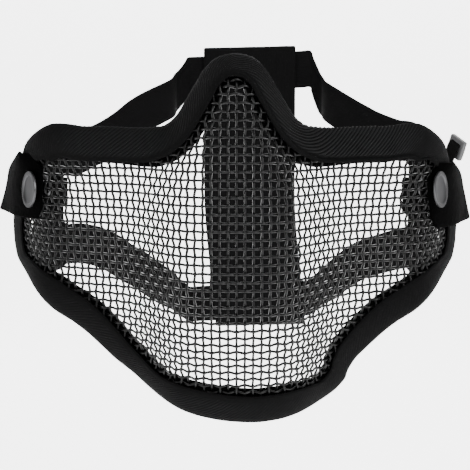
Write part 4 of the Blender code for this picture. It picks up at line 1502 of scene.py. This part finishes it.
def napped_cloth():
    """Loop cloth with a short nap."""
    finish = Finish("black_tab_cloth", grey(0.0006), 0.95, Specular_IOR_Level=0.01)
    place = finish.place()
    nap = finish.noise(place, 1400.0, 5.0)
    tufts = finish.noise(place, 420.0, 2.0)
    finish.bump(nap * (0.16 * MM) + tufts * (0.22 * MM), 1.0)
    finish.shade(nap, grey(0.0001), grey(0.0009))
    return finish.material


def knitted_elastic():
    """Elastic with fine cords along it and picks across it."""
    finish = Finish("black_elastic", grey(0.001), 0.88, Specular_IOR_Level=0.03)
    along, across = finish.uv("along")
    cords = (across * (pi / (0.9 * MM))).sine().absolute()
    picks = (along * (pi / (0.62 * MM))).sine().absolute()
    fibres = finish.noise(finish.place(), 1800.0, 3.0)
    finish.bump(cords * (0.05 * MM) + picks * (0.05 * MM) + fibres * (0.02 * MM), 1.0)
    # Base colour: lighter on the raised cords and picks and darker in the hollows between them, a painted
    # highlight on the ridges and painted shade in the hollows.
    finish.shade(picks * 0.5 + cords * 0.5, grey(0.0012), grey(0.0026))
    return finish.material


def thread_finish():
    finish = Finish("black_thread", grey(0.001), 0.7, Specular_IOR_Level=0.06)
    finish.bump(finish.noise(finish.place(), 3000.0), 0.03 * MM)
    return finish.material


def worn_metal():
    """Grey metal with faint scratches."""
    finish = Finish("grey_metal", grey(0.06), 0.3, 1.0, Specular_Tint=(0.45, 0.45, 0.45, 1))
    place = finish.place()
    cloud = finish.noise(place, 260.0, 4.0)
    grain = finish.noise(place, 2600.0, 3.0)
    finish.feed("Roughness", 0.26 + cloud * 0.16 + grain * 0.06)
    finish.shade(cloud, grey(0.03), grey(0.07))
    finish.bump(grain, 0.01 * MM)
    return finish.material


def moulded_plastic():
    """Moulded plastic with a fine grain, and a cloudy tone and roughness."""
    finish = Finish("grey_plastic", grey(0.05), 0.36, Specular_IOR_Level=0.15)
    place = finish.place()
    cloud = finish.noise(place, 300.0, 3.0)
    finish.feed("Roughness", 0.30 + cloud * 0.14)
    finish.shade(cloud, grey(0.035), grey(0.06))
    finish.bump(finish.noise(place, 1500.0, 2.0), 0.02 * MM)
    return finish.material


# The room


def make_room():
    white = Finish("white_room", (0.95, 0.95, 0.95), 0.9)
    white.shader.inputs["Emission Color"].default_value = (1, 1, 1, 1)
    white.shader.inputs["Emission Strength"].default_value = 2.8
    floor_height, back, turn, half_width, front = -0.32, 1.5, 0.6, 2.6, -1.6
    profile = [(front, floor_height), (back - turn, floor_height)]
    profile += [
        (back - turn + turn * sin(a), floor_height + turn - turn * cos(a))
        for a in np.linspace(0, pi / 2, 13)[1:]
    ]
    profile.append((back, 2.4))
    vertices = [(x, y, z) for x in (-half_width, half_width) for y, z in profile]
    count = len(profile)
    faces = [(k, k + count, k + count + 1, k + 1) for k in range(count - 1)]
    add_mesh("floor_and_backdrop", vertices, faces, white.material)


def area_light(name, place, target, size, power):
    lamp = bpy.data.lights.new(name, "AREA")
    lamp.shape = "RECTANGLE"
    lamp.size, lamp.size_y = size
    lamp.energy = power
    light = bpy.data.objects.new(name, lamp)
    light.location = place
    light.rotation_euler = (Vector(target) - Vector(place)).to_track_quat("-Z", "Y").to_euler()
    bpy.context.scene.collection.objects.link(light)


def make_lights():
    middle = (0, 0.05, -0.07)
    area_light("key", (0.75, -0.75, 0.55), middle, (0.5, 0.7), 22)
    area_light("fill", (-0.9, -0.7, 0.25), middle, (0.6, 0.8), 8)
    area_light("top", (0.0, -0.1, 1.1), middle, (1.2, 0.9), 14)
    world = bpy.data.worlds.new("room_light")
    world.use_nodes = True
    world.node_tree.nodes["Background"].inputs["Color"].default_value = (1, 1, 1, 1)
    world.node_tree.nodes["Background"].inputs["Strength"].default_value = 0.7
    bpy.context.scene.world = world


def make_camera():
    data = bpy.data.cameras.new("photo_camera")
    data.sensor_width = 36.0
    data.lens = data.sensor_width * FOCAL_PIXELS / PICTURE_PIXELS
    data.clip_start = 0.01
    camera = bpy.data.objects.new("photo_camera", data)
    pitch = atan((PICTURE_PIXELS / 2 - HORIZON_PIXEL) / FOCAL_PIXELS)
    camera.location = (0, -CAMERA_DISTANCE - BRIDGE_DEPTH, CAMERA_HEIGHT)
    camera.rotation_euler = (pi / 2 - pitch, 0, 0)
    bpy.context.scene.collection.objects.link(camera)
    bpy.context.scene.camera = camera


def dress(piece, slot, *nodes):
    """Lets a piece ride on the mask and hides the nodes it stands for; the finish's slot is not used."""
    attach(piece, "root")
    if nodes:
        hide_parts(*nodes)


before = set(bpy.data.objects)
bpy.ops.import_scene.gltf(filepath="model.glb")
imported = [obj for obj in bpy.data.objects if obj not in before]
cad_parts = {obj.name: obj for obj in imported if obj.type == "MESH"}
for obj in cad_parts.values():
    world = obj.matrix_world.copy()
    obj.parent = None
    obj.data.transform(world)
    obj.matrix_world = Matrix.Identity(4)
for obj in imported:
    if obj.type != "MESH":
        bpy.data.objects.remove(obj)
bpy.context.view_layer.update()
bpy.ops.object.select_all(action="DESELECT")

make_room()
make_lights()
make_camera()

tape_cloth, tab_cloth, elastic, thread = ribbed_tape(), napped_cloth(), knitted_elastic(), thread_finish()
metal = worn_metal()
stitch = stitch_shape()

for wires in make_wire_cloth(coated_wire()):
    dress(wires, "black_wire", "face_mesh")

tape, tape_length, tape_width = make_tape(tape_cloth)
tape_stitches = make_tape_stitches(thread, stitch)
dress(tape, "black_tape", "edge_binding")
dress(tape_stitches, "black_tape")

for word, way in (("left", -1), ("right", 1)):
    tab, tab_length = make_tab(f"side_tab_{word}", way, tab_cloth)
    dress(tab, "black_tab_cloth", f"tab_{word}")
    cap_seat, back_seat = snap_seats(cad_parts[f"snap_cap_{word}"])
    dress(make_snap_cap(f"cap_{word}", cap_seat, metal), "grey_metal", f"snap_cap_{word}")
    dress(make_snap_back(f"ring_{word}", back_seat, metal), "grey_metal", f"snap_back_{word}")

strap, strap_length = make_strap(elastic)
dress(strap, "black_elastic", "elastic_strap")

band, band_length = make_band(elastic)
band_stitches = make_band_stitches(thread, stitch)
dress(band, "black_elastic", "back_band")
dress(band_stitches, "black_elastic")

dress(make_slider(moulded_plastic()), "grey_plastic", "strap_slider")
strap_end, strap_end_length = make_strap_end(elastic)
dress(strap_end, "black_elastic", "strap_end_loop")
